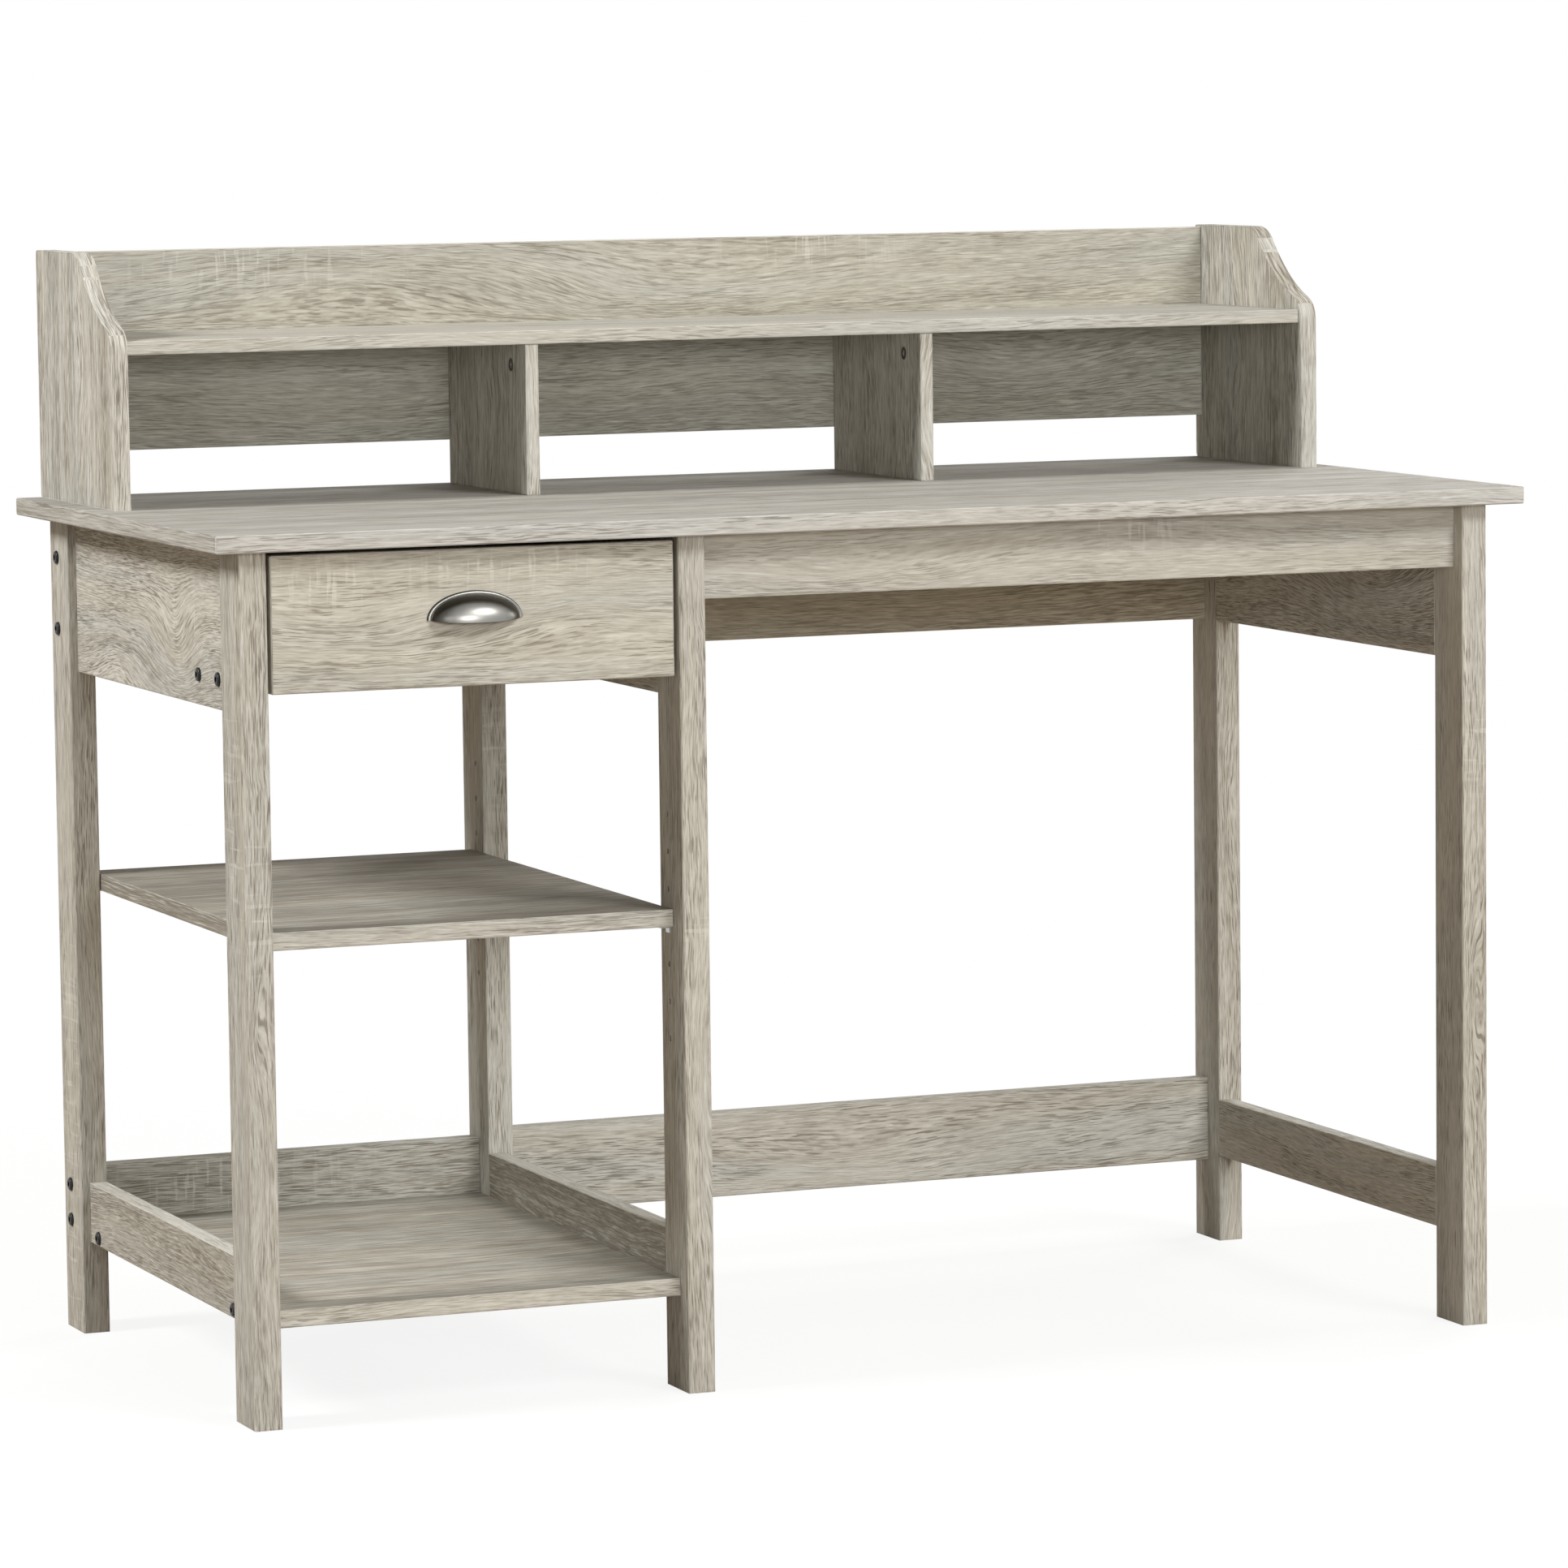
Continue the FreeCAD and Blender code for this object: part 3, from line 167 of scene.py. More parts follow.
class Finish(Tree):
    """A material: a principled surface whose colour, roughness and bump come from expressions."""

    def __init__(self, name):
        self.material = bpy.data.materials.new(name)
        self.material.use_nodes = True
        super().__init__(self.material.node_tree)
        self.tree.nodes.clear()
        self.here = self.node("ShaderNodeTexCoord", out="Object")
        self.facing = self.node("ShaderNodeTexCoord", out="Normal")

    def noise(self, x, y, z, detail=2.0, roughness=0.5):
        return self.node("ShaderNodeTexNoise", {"noise_dimensions": "3D"},
                         {"Vector": self.vector(x, y, z), "Scale": 1.0, "Detail": detail,
                          "Roughness": roughness}, out="Fac")

    def even_noise(self, size, detail=2.0):
        """Noise that is alike in every direction; size is its grain in metres."""
        return self.node("ShaderNodeTexNoise", {"noise_dimensions": "3D"},
                         {"Vector": self.here, "Scale": 1 / size, "Detail": detail}, out="Fac")

    def cell_noise(self, cells, detail=2.0):
        """Noise with its own number of cells in a metre along x, y and z."""
        x, y, z = self.parts(self.here)
        return self.noise(x * cells[0], y * cells[1], z * cells[2], detail)

    def blend(self, share, first, second, how="MIX"):
        return self.node("ShaderNodeMix", {"data_type": "RGBA", "blend_type": how},
                         {0: share, COLOUR_A: first, COLOUR_B: second}, out=COLOUR_OUT)

    def ramp(self, value, stops):
        return self.node("ShaderNodeValToRGB", {"stops": stops}, {0: value})

    def surface(self, colour, roughness, height, depth, metallic=0.0, **constants):
        """Close the material: height is the bump's shape, and depth its size in metres."""
        bump = self.node("ShaderNodeBump", None, {"Strength": 1.0, "Distance": depth, "Height": height})
        sockets = {"Base Color": colour, "Roughness": roughness, "Metallic": metallic, "Normal": bump}
        sockets.update({name.replace("_", " "): entry for name, entry in constants.items()})
        shader = self.node("ShaderNodeBsdfPrincipled", None, sockets)
        self.node("ShaderNodeOutputMaterial", None, {"Surface": shader})
        return self.material


# ---------------------------------------------------------------- oak laminate
# the print's colours from its darkest line to its palest, then its pores and its limed flecks, whose pale
# colour also paints the highlight along the arrises
OAK_DARK = (0.262, 0.238, 0.196)
OAK_MIDDLE = (0.490, 0.471, 0.416)
OAK_LIGHT = (0.648, 0.633, 0.577)
OAK_PORE = (0.200, 0.174, 0.138)
OAK_LIME_AND_HIGHLIGHT = (0.760, 0.745, 0.690)
OAK_STOPS = [(0.05, OAK_DARK), (0.50, OAK_MIDDLE), (0.95, OAK_LIGHT)]

# tones that stretches of the grain take in turn, and tones of a whole board; the tan one is painted shade,
# the warm brown of the shade under the desktop
GREYER = (0.990, 1.000, 1.014)
BROWNER = (1.016, 0.998, 0.978)
COOL = (0.960, 0.985, 1.040)
PLAIN = (0.984, 1.0, 1.010)
WARM = (0.992, 1.004, 0.994)
SHADE_TAN = (1.020, 0.975, 0.880)

# layers of the grain: cells in a metre along it, across it and into the board, and their detail
DRIFT = (2.6, 8.0, 8.0, 1.5)
RIPPLE = (24.0, 40.0, 40.0, 1.5)
BROAD = (1.5, 30.0, 20.0, 2.0)
STREAK = (7.0, 330.0, 60.0, 2.5)
THREAD = (26.0, 680.0, 200.0, 1.5)
FIBRE = (70.0, 1150.0, 300.0, 2.0)
PORE = (44.0, 1050.0, 300.0, 1.0)
PORE_PATCH = (7.0, 55.0, 30.0, 1.0)
LIME_FLECK = (40.0, 640.0, 300.0, 1.0)
RUNG = (230.0, 20.0, 20.0, 1.0)
RUNG_BREAK = (60.0, 700.0, 90.0, 1.0)
WARMTH = (1.8, 26.0, 20.0, 1.5)
SOFT, CRISP = 0.5, 0.6
# cells by which each board starts past the one before it, and by which the lime flecks are set aside
SEED_STEP = 3.71
LIME_ASIDE = 7.0

# where in its noise each mark begins to show, and where it is whole
PORE_RISE, PORE_PATCH_RISE, LIME_RISE = (0.54, 0.63), (0.34, 0.62), (0.57, 0.72)
RUNG_RISE, RUNG_BREAK_RISE = (0.58, 0.68), (0.25, 0.55)
WARMTH_RISE, ARRIS_WEAR_AND_HIGHLIGHT_RISE = (0.35, 0.65), (0.30, 0.75)

# how far drift and ripple bend the lines, and how far they push the outlines of the figures
DRIFT_BEND, RIPPLE_BEND = 32 * MM, 3.5 * MM
DRIFT_PUSH, RIPPLE_PUSH = 50 * MM, 8 * MM

# each layer's share in the grain, and each mark's share in the colour where it is strongest
BROAD_SHARE, STREAK_SHARE, THREAD_SHARE, FIBRE_SHARE = 0.50, 0.46, 0.74, 1.00
PORE_SHARE, LIME_SHARE, RUNG_SHARE, ARRIS_WEAR_AND_HIGHLIGHT_SHARE, SEAM_SHARE = 0.66, 0.34, 0.42, 0.40, 0.22
# pores grow no stronger than on a board this bold, and keep this share between their patches
BOLDEST_PORE = 1.3
PORES_BETWEEN = 0.2
# how much longer the streaks of the wide boards are
LONG_STREAKS = 2.2

# a face belongs to an end or a long edge where it faces that way by more than this share
TURNED_FACE = 0.7
# a sloped edge cuts down through the grain, so the depth counts for this little there
EDGE_DEPTH = 0.06
# panels up to this thick have an edge band, paler by its lift and quieter by its share
THICKEST_PANEL = 20 * MM
BAND_QUIET, BAND_LIFT = 0.15, 0.14

# the pale line on each arris, partly rubbed wear and partly a painted highlight, and the seam where the
# edge band meets the face
ARRIS_WEAR_AND_HIGHLIGHT_REACH, ARRIS_WEAR_AND_HIGHLIGHT_FULL, ARRIS_WEAR_AND_HIGHLIGHT_PATCH = 1.3 * MM, 0.2 * MM, 14 * MM
SEAM_AT, SEAM_REACH, SEAM_FULL = 0.9 * MM, 0.28 * MM, 0.05 * MM
SMUDGE_SIZE = 90 * MM
OAK_ROUGHNESS, OAK_SHEEN = 0.64, 0.07
# what pores, fibres and smudges add to the roughness
PORE_ROUGHER, FIBRE_ROUGHER, SMUDGE_ROUGHER = 0.14, 0.06, 0.10
# how high fibres and flecks stand and how deep pores and the seam lie, as shares of the relief
FIBRE_HIGH, LIME_HIGH, PORE_DEEP, SEAM_DEEP = 0.35, 0.15, 0.8, 0.5
OAK_RELIEF = 0.22 * MM


def grain_axes(f, lo, hi, grain):
    """Where a point lies along the grain, across it and into the board, and 1 on an edge band.

    Over an end the grain runs with the board's width.
    """
    sizes = [hi[i] - lo[i] for i in range(3)]
    length = AXES.index(grain)
    thick = min((i for i in range(3) if i != length), key=lambda i: sizes[i])
    wide = 3 - length - thick
    place, facing = f.parts(f.here), f.parts(f.facing)
    end = abs(facing[length]).over(TURNED_FACE)
    edge = abs(facing[wide]).over(TURNED_FACE)
    run = place[length] + end * (place[wide] - place[length])
    across = place[wide] + (end + edge) * (place[thick] - place[wide])
    deep = (place[thick] + end * (place[length] * EDGE_DEPTH - place[thick])
            + edge * (place[wide] * EDGE_DEPTH - place[thick]))
    # a leg is thicker than a panel: its print wraps round it, with no edge band
    band = edge if sizes[thick] <= THICKEST_PANEL else 0.0
    return run, across, deep, band


def oval(run, across, at, off, half_run, half_across):
    """1 in the middle of an oval along the grain, and falling smoothly to nothing outside it."""
    du = (run - at) / half_run
    dv = (across - off) / half_across
    return (0 - du * du - dv * dv).exponential()


def arris_distance(f, lo, hi):
    """From a point on the board to its nearest arris: the middle one of its three gaps to the faces."""
    place = f.parts(f.here)
    x_gap, y_gap, z_gap = [(place[i] - lo[i]).least(hi[i] - place[i]) for i in range(3)]
    return x_gap.least(y_gap).most(x_gap.most(y_gap).least(z_gap))


def oak(board, seed, grain, tone=PLAIN, lift=0.0, bold=1.0, stretch=1.0, figures=(), ladders=()):
    """Printed oak on one board, with its grain along the axis that is named.

    The lift makes the whole board paler, or darker below zero. It is partly the board's own tone and
    partly painted
    light and shade: it darkens boards that lie in the desk's shade and brightens some shaded faces.
    bold is the strength of its grain and stretch the length of its streaks, both beside a plain board's.
    figures are (place along, place across, half length, half height, swell): eyes in the grain, which
    every line bends round. ladders are (place along, place across, half length, half height): patches
    of faint pale marks across the grain.
    """
    f = Finish("oak_" + board)
    lo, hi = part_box(board)
    run, across, deep, band = grain_axes(f, lo, hi, grain)
    shift = seed * SEED_STEP

    def layer(cells, along, over, move=shift, roughness=CRISP):
        """Noise whose cells follow the grain."""
        in_run, in_line, in_depth, detail = cells
        return f.noise(along * in_run + move, over * in_line, deep * in_depth, detail, roughness)

    # the tree's slow drift and a quicker ripple, which bend every finer line with them
    drift = layer(DRIFT, run, across, roughness=SOFT) - 0.5
    ripple = layer(RIPPLE, run, across, roughness=SOFT) - 0.5
    line = across + drift * DRIFT_BEND + ripple * RIPPLE_BEND
    pushed_run, pushed_across = run + drift * DRIFT_PUSH, across + ripple * RIPPLE_PUSH
    for *place_and_size, swell in figures:
        line = line + oval(pushed_run, pushed_across, *place_and_size) * swell

    long_run = run / (band * (1 - stretch) + stretch)
    broad = layer(BROAD, long_run, line)
    streak = layer(STREAK, long_run, line)
    thread = layer(THREAD, long_run, line, -shift)
    fibre = layer(FIBRE, long_run, line)
    pore_patch = layer(PORE_PATCH, long_run, line, -shift, SOFT).rise(*PORE_PATCH_RISE)
    pore = layer(PORE, long_run, line, -shift, SOFT).rise(*PORE_RISE)
    pore = pore * (pore_patch * (1 - PORES_BETWEEN) + PORES_BETWEEN)
    beside = line + LIME_ASIDE / LIME_FLECK[1]
    lime = layer(LIME_FLECK, long_run, beside, shift, SOFT).rise(*LIME_RISE)
    warmth = layer(WARMTH, long_run, line, -shift, SOFT).rise(*WARMTH_RISE)

    quiet = 1 - band * BAND_QUIET
    value = ((broad - 0.5) * BROAD_SHARE + (streak - 0.5) * STREAK_SHARE
             + (thread - 0.5) * THREAD_SHARE + (fibre - 0.5) * FIBRE_SHARE)
    value = value * (quiet * bold) + band * BAND_LIFT + (1 - band) * lift + 0.5
    colour = f.ramp(value, OAK_STOPS)
    colour = f.blend(pore * quiet * (PORE_SHARE * min(bold, BOLDEST_PORE)), colour, rgba(OAK_PORE))
    colour = f.blend(lime * LIME_SHARE, colour, rgba(OAK_LIME_AND_HIGHLIGHT))

    # pale marks across the grain, uneven in width, length and spacing
    if ladders:
        rung = layer(RUNG, run, across, ripple, SOFT).rise(*RUNG_RISE)
        rung = rung * layer(RUNG_BREAK, run, line, 0.0, SOFT).rise(*RUNG_BREAK_RISE)
        patches = sum(oval(run, across, *ladder) for ladder in ladders)
        colour = f.blend(rung * patches * RUNG_SHARE, colour, rgba(OAK_LIME_AND_HIGHLIGHT))

    # along every arris: a paler line, partly worn and partly a painted highlight, and beside it the seam
    # of the edge band
    to_edge = arris_distance(f, lo, hi)
    worn_and_highlit_arris = to_edge.rise(ARRIS_WEAR_AND_HIGHLIGHT_REACH, ARRIS_WEAR_AND_HIGHLIGHT_FULL) * f.even_noise(ARRIS_WEAR_AND_HIGHLIGHT_PATCH).rise(*ARRIS_WEAR_AND_HIGHLIGHT_RISE)
    seam = abs(to_edge - SEAM_AT).rise(SEAM_REACH, SEAM_FULL)
    colour = f.blend(worn_and_highlit_arris * ARRIS_WEAR_AND_HIGHLIGHT_SHARE, colour, rgba(OAK_LIME_AND_HIGHLIGHT))
    colour = f.blend(seam * SEAM_SHARE, colour, rgba(OAK_PORE))
    colour = f.blend(1.0, colour, f.blend(warmth, rgba(GREYER), rgba(BROWNER)), "MULTIPLY")
    colour = f.blend(1.0, colour, rgba(tone), "MULTIPLY")

    smudge = f.even_noise(SMUDGE_SIZE, 1.0)
    roughness = (OAK_ROUGHNESS + pore * PORE_ROUGHER + (smudge - 0.5) * SMUDGE_ROUGHER
                 + fibre * FIBRE_ROUGHER)
    height = fibre * FIBRE_HIGH - pore * PORE_DEEP - seam * SEAM_DEEP + lime * LIME_HIGH
    return f.surface(colour, roughness, height=height, depth=OAK_RELIEF, Specular_IOR_Level=OAK_SHEEN)


def put_in_scene(name, data):
    """A new object, linked to the scene."""
    made = bpy.data.objects.new(name, data)
    bpy.context.scene.collection.objects.link(made)
    return made


def dress(node, material):
    """Give a node of the frame its finish; its shape and place stay."""
    mesh = nodes[node].data
    mesh.materials.clear()
    mesh.materials.append(material)


# places are along and across the grain, in metres; what a row leaves out is as on a plain board
# the lift in each row is partly the board's own tone and partly painted light and shade
OAK_BOARDS = {
    # desktop and legs
    "desktop": dict(grain="X", tone=COOL, lift=-0.12, bold=1.2, stretch=LONG_STREAKS,
                    figures=[(-0.30, -0.19, 0.30, 0.030, 0.015), (0.34, -0.06, 0.36, 0.040, -0.018)]),
    "leg_front_left": dict(grain="Z", bold=1.4,
                           figures=[(0.47, -0.262, 0.050, 0.012, 0.008),
                                    (0.34, -0.566, 0.070, 0.007, 0.008)],
                           ladders=[(0.50, -0.247, 0.10, 0.03), (0.44, -0.562, 0.06, 0.02)]),
    "leg_front_middle": dict(grain="Z", lift=0.03, bold=1.2,
                             figures=[(0.695, -0.158, 0.040, 0.016, 0.016),
                                      (0.24, -0.170, 0.090, 0.008, 0.009)],
                             ladders=[(0.405, -0.176, 0.02, 0.02)]),
    "leg_front_right": dict(grain="Z", lift=0.04, bold=1.2, figures=[(0.30, 0.560, 0.09, 0.007, 0.009)],
                            ladders=[(0.52, 0.562, 0.04, 0.02)]),
    "leg_rear_left": dict(grain="Z", bold=1.25,
                          ladders=[(0.24, 0.25, 0.12, 0.03), (0.06, 0.25, 0.05, 0.03)]),
    "leg_rear_middle": dict(grain="Z", lift=0.16, bold=1.3, ladders=[(0.50, -0.176, 0.05, 0.02)]),
    "leg_rear_right": dict(grain="Z", lift=0.05, bold=1.2, figures=[(0.42, 0.560, 0.08, 0.008, 0.007)]),
    # aprons and rails
    "left_apron": dict(grain="Y", lift=0.03, bold=1.7,
                       figures=[(-0.07, 0.640, 0.060, 0.040, 0.034), (0.10, 0.615, 0.080, 0.026, -0.020)],
                       ladders=[(-0.10, 0.655, 0.045, 0.03)]),
    "middle_apron": dict(grain="Y", figures=[(0.05, 0.670, 0.09, 0.035, 0.020)]),
    "right_apron": dict(grain="Y", bold=2.0, figures=[(-0.11, 0.655, 0.12, 0.045, 0.048)]),
    "lower_left_rail": dict(grain="Y", lift=-0.13, bold=1.1,
                            figures=[(-0.06, 0.135, 0.16, 0.022, -0.013)]),
    # painted shade: the lower middle rail's low lift darkens it as the shade inside the pedestal
    "lower_middle_rail": dict(grain="Y", lift=-0.35, figures=[(0.10, 0.09, 0.14, 0.020, 0.010)]),
    "lower_right_rail": dict(grain="Y", bold=1.3, figures=[(-0.05, 0.12, 0.12, 0.020, 0.011)]),
    "pedestal_back_apron": dict(grain="X", figures=[(-0.30, 0.66, 0.12, 0.040, 0.023)]),
    "pedestal_back_rail": dict(grain="X", lift=-0.08, bold=1.3, ladders=[(-0.43, 0.12, 0.10, 0.035)]),
    # painted shade: the rear apron's tan tone and low lift give it the warm dark of the shade under the
    # desktop
    "rear_apron": dict(grain="X", tone=SHADE_TAN, lift=-0.12, figures=[(0.20, 0.655, 0.20, 0.040, 0.025)]),
    "rear_stretcher": dict(grain="X", lift=0.14, bold=1.2, figures=[(0.20, 0.105, 0.16, 0.024, 0.014)]),
    "front_rail": dict(grain="X", lift=0.03, bold=0.7,
                       figures=[(0.20, 0.722, 0.15, 0.018, -0.013), (-0.02, 0.69, 0.12, 0.018, 0.010)],
                       ladders=[(0.24, 0.72, 0.06, 0.014)]),
    "drawer_rail": dict(grain="X"),
    # shelves, hutch and drawer front
    # painted shade: the shelves' low lifts darken them as the shade under the drawer and the desktop
    "bottom_shelf": dict(grain="X", lift=-0.27, bold=1.5, stretch=LONG_STREAKS,
                         figures=[(-0.36, -0.10, 0.20, 0.035, 0.020)]),
    "middle_shelf": dict(grain="X", lift=-0.38, bold=1.5, stretch=LONG_STREAKS,
                         figures=[(-0.40, -0.14, 0.18, 0.030, 0.018)]),
    "hutch_side_left": dict(grain="Z", lift=0.03, bold=2.2, figures=[(0.875, 0.150, 0.060, 0.022, 0.014)]),
    "hutch_side_right": dict(grain="Z", lift=-0.07, bold=1.5, figures=[(0.86, 0.19, 0.070, 0.024, 0.015)]),
    "hutch_shelf": dict(grain="X", stretch=LONG_STREAKS, figures=[(-0.05, 0.16, 0.25, 0.030, 0.017)]),
    "hutch_back": dict(grain="X", tone=WARM, lift=-0.05, bold=0.9,
                       figures=[(0.06, 0.915, 0.17, 0.034, 0.023),
                                (-0.33, 0.935, 0.20, 0.030, -0.017),
                                (0.36, 0.83, 0.13, 0.036, 0.022)],
                       ladders=[(-0.38, 0.95, 0.12, 0.02), (0.16, 0.955, 0.08, 0.02)]),
    # painted light: the dividers' high lifts brighten faces that lie in the hutch's shade
    "hutch_divider_left": dict(grain="Z", lift=0.16, bold=1.8, figures=[(0.80, 0.16, 0.06, 0.020, 0.011)]),
    "hutch_divider_right": dict(grain="Z", lift=0.06, bold=1.9,
                                figures=[(0.80, 0.18, 0.070, 0.022, 0.013)]),
    "drawer_front": dict(grain="X", tone=WARM, lift=0.07,
                         figures=[(-0.46, 0.655, 0.11, 0.026, 0.016), (-0.27, 0.665, 0.10, 0.024, -0.013)],
                         ladders=[(-0.35, 0.715, 0.09, 0.022), (-0.50, 0.70, 0.04, 0.02)]),
}
for seed, (board, looks) in enumerate(OAK_BOARDS.items(), 1):
    dress(board, oak(board, seed, **looks))


# ---------------------------------------------------------------- drawer box, bottom, metal, nylon
def drawer_box_foil():
    """Plain printed foil on the drawer's sides and back."""
    f = Finish("drawer_box_foil")
    streak = f.cell_noise((12.0, 9.0, 160.0), 3.0)
    fibre = f.cell_noise((60.0, 60.0, 620.0))
    colour = f.ramp(streak * 0.6 + fibre * 0.4,
                    [(0.25, (0.47, 0.43, 0.37)), (0.55, (0.60, 0.56, 0.49)), (0.80, (0.67, 0.63, 0.56))])
    dust = f.even_noise(60 * MM)
    return f.surface(colour, 0.48 + dust * 0.14, height=fibre, depth=0.1 * MM)


def hardboard():
    """Thin fibreboard, smooth above, with fine flecks of fibre."""
    f = Finish("hardboard_fibre")
    fleck = f.cell_noise((420.0, 420.0, 420.0))
    cloud = f.cell_noise((14.0, 14.0, 14.0), 3.0)
    colour = f.ramp(fleck * 0.45 + cloud * 0.55,
                    [(0.30, (0.36, 0.29, 0.20)), (0.52, (0.47, 0.39, 0.29)), (0.75, (0.55, 0.47, 0.36))])
    return f.surface(colour, 0.55 + cloud * 0.12, height=fleck, depth=0.1 * MM)


RUB_SIZE = 9 * MM
# cells in a metre along x, y and z: lines that run level, lines that run along x, and a cast grain
BRUSHED_LEVEL = (60.0, 60.0, 700.0)
BRUSHED_LONG = (90.0, 700.0, 700.0)
CAST = (300.0, 300.0, 300.0)


def metal(name, dark, light, roughness, cells=BRUSHED_LEVEL, metallic=1.0, **constants):
    """Metal with brushed lines, or a cast grain where its cells are even, and rubbed patches."""
    f = Finish(name)
    brushed = f.cell_noise(cells)
    rubbed = f.even_noise(RUB_SIZE, 3.0)
    colour = f.ramp(brushed * 0.35 + rubbed * 0.65, [(0.30, dark), (0.72, light)])
    return f.surface(colour, roughness + (rubbed - 0.5) * 0.12 + (brushed - 0.5) * 0.10,
                     metallic=metallic, height=brushed, depth=0.03 * MM, **constants)


def antique_nickel():
    """Dark satin nickel, paler on the bulge of the shell and the crest of the rim: partly rubbed by
    fingers, partly a painted highlight.
    """
    f = Finish("antique_nickel")
    _, y, _ = f.parts(f.here)
    _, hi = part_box("cup_pull")
    # in millimetres off the drawer front
    stands_out = (hi.y - y) / MM
    # painted highlight and rubbing: the part of the shell that stands out most, and the crest of the rim,
    # are made paler
    bulge_rub_and_highlight = stands_out.rise(6.0, 19.5)
    crest_rub_and_highlight = stands_out.rise(1.7, 2.3) * stands_out.rise(3.4, 2.7)
    rubbed = f.even_noise(RUB_SIZE, 3.0)
    brushed = f.cell_noise(BRUSHED_LONG)
    colour = f.ramp(bulge_rub_and_highlight.most(crest_rub_and_highlight * 0.9) + (rubbed - 0.5) * 0.16 + (brushed - 0.5) * 0.06,
                    [(0.0, (0.054, 0.050, 0.042)), (0.45, (0.100, 0.096, 0.084)),
                     (1.0, (0.262, 0.256, 0.236))])
    return f.surface(colour, 0.33 + (rubbed - 0.5) * 0.04, metallic=1.0, height=brushed,
                     depth=0.002 * MM)


def painted_steel():
    """Off-white powder coat with a fine orange-peel and rubbed tracks."""
    f = Finish("runner_coat")
    peel = f.even_noise(1.6 * MM, 1.0)
    rubbed = f.cell_noise((300.0, 8.0, 300.0))
    colour = f.ramp(rubbed, [(0.30, (0.60, 0.60, 0.58)), (0.55, (0.74, 0.74, 0.72))])
    return f.surface(colour, 0.38 + rubbed * 0.14, height=peel, depth=0.04 * MM)


def nylon():
    """Natural nylon with a faint mottle, which lets a little light in."""
    f = Finish("roller_nylon")
    mottle = f.even_noise(3 * MM)
    colour = f.ramp(mottle, [(0.30, (0.70, 0.69, 0.64)), (0.70, (0.82, 0.81, 0.77))])
    return f.surface(colour, 0.42 + mottle * 0.10, height=mottle, depth=0.03 * MM,
                     Subsurface_Weight=0.05)


drawer_box_finish = drawer_box_foil()
for board in ("drawer_side_left", "drawer_side_right", "drawer_back"):
    dress(board, drawer_box_finish)
dress("drawer_bottom", hardboard())
nickel = antique_nickel()
black_oxide = metal("black_oxide", (0.006, 0.006, 0.006), (0.016, 0.015, 0.014), 0.40, metallic=0.0,
                    Specular_IOR_Level=0.25)
bright_zinc = metal("bright_zinc", (0.42, 0.42, 0.41), (0.66, 0.66, 0.64), 0.34)
# painted shade: the cams' metal is made dark brown to stand for the shade of their holes in the dividers
shaded_cast_zinc = metal("shaded_cast_zinc", (0.060, 0.052, 0.044), (0.150, 0.135, 0.115), 0.36, cells=CAST)
runner_coat = painted_steel()
roller_nylon = nylon()
for side in ("left", "right"):
    for kind in ("cabinet", "drawer"):
        dress(f"{kind}_runner_{side}", runner_coat)
        dress(f"{kind}_roller_{side}", roller_nylon)
dress("shelf_pins", bright_zinc)
dress("hutch_cam_bolts", bright_zinc)


# ---------------------------------------------------------------- turned fittings, by geometry nodes
# faces round a fitting
TURNS = 48
# points this near are one: in a node's loose triangles, and on a fitting's axis
CLOSE, POLE_CLOSE = 0.01 * MM, 0.002 * MM


def solids_of(node):
    """The separate solids of a node, each as its lowest and highest corner and its points."""
    shape = bmesh.new()
    shape.from_mesh(nodes[node].data)
    bmesh.ops.remove_doubles(shape, verts=shape.verts, dist=CLOSE)
    unseen = set(shape.verts)
    solids = []
    while unseen:
        wave = [unseen.pop()]
        found = list(wave)
        while wave:
            vertex = wave.pop()
            for edge in vertex.link_edges:
                other = edge.other_vert(vertex)
                if other in unseen:
                    unseen.remove(other)
                    wave.append(other)
                    found.append(other)
        points = [v.co.copy() for v in found]
        lo = Vector([min(p[i] for p in points) for i in range(3)])
        hi = Vector([max(p[i] for p in points) for i in range(3)])
        solids.append((lo, hi, points))
    shape.free()
    return sorted(solids, key=lambda solid: tuple(round(c, 5) for c in solid[0]))


def turning_axis(lo, hi):
    """The axis along which a turned solid's size differs most from the other two."""
    extent = hi - lo
    return max(range(3), key=lambda i: min(abs(extent[i] - extent[j]) for j in range(3) if j != i))


def end_face(lo, hi, axis, sign):
    """The middle of a solid's end along an axis, and the way that this end faces."""
    tip, towards = (lo + hi) / 2, Vector((0.0, 0.0, 0.0))
    tip[axis] = (hi if sign > 0 else lo)[axis]
    towards[axis] = sign
    return tip, towards


def off_axis(point, middle, axis):
    """How far a point lies from the line along an axis through the middle."""
    return math.hypot(*[point[i] - middle[i] for i in range(3) if i != axis])


def headed_places(node):
    """The top of each screw's head, and the way it faces: the end where the screw is widest."""
    places = []
    for lo, hi, points in solids_of(node):
        axis = turning_axis(lo, hi)
        middle = (lo + hi) / 2
        widest = max(points, key=lambda point: off_axis(point, middle, axis))
        places.append(end_face(lo, hi, axis, 1 if widest[axis] > middle[axis] else -1))
    return places


# cams open to the left in the dividers, to the rear in the back and downwards in the shelf
CAM_FACES = {"X": -1, "Y": 1, "Z": -1}


def cam_places(node):
    """The middle of each cam's open face, and the way it faces."""
    places = []
    for lo, hi, _ in solids_of(node):
        axis = turning_axis(lo, hi)
        places.append(end_face(lo, hi, axis, CAM_FACES[AXES[axis]]))
    return places


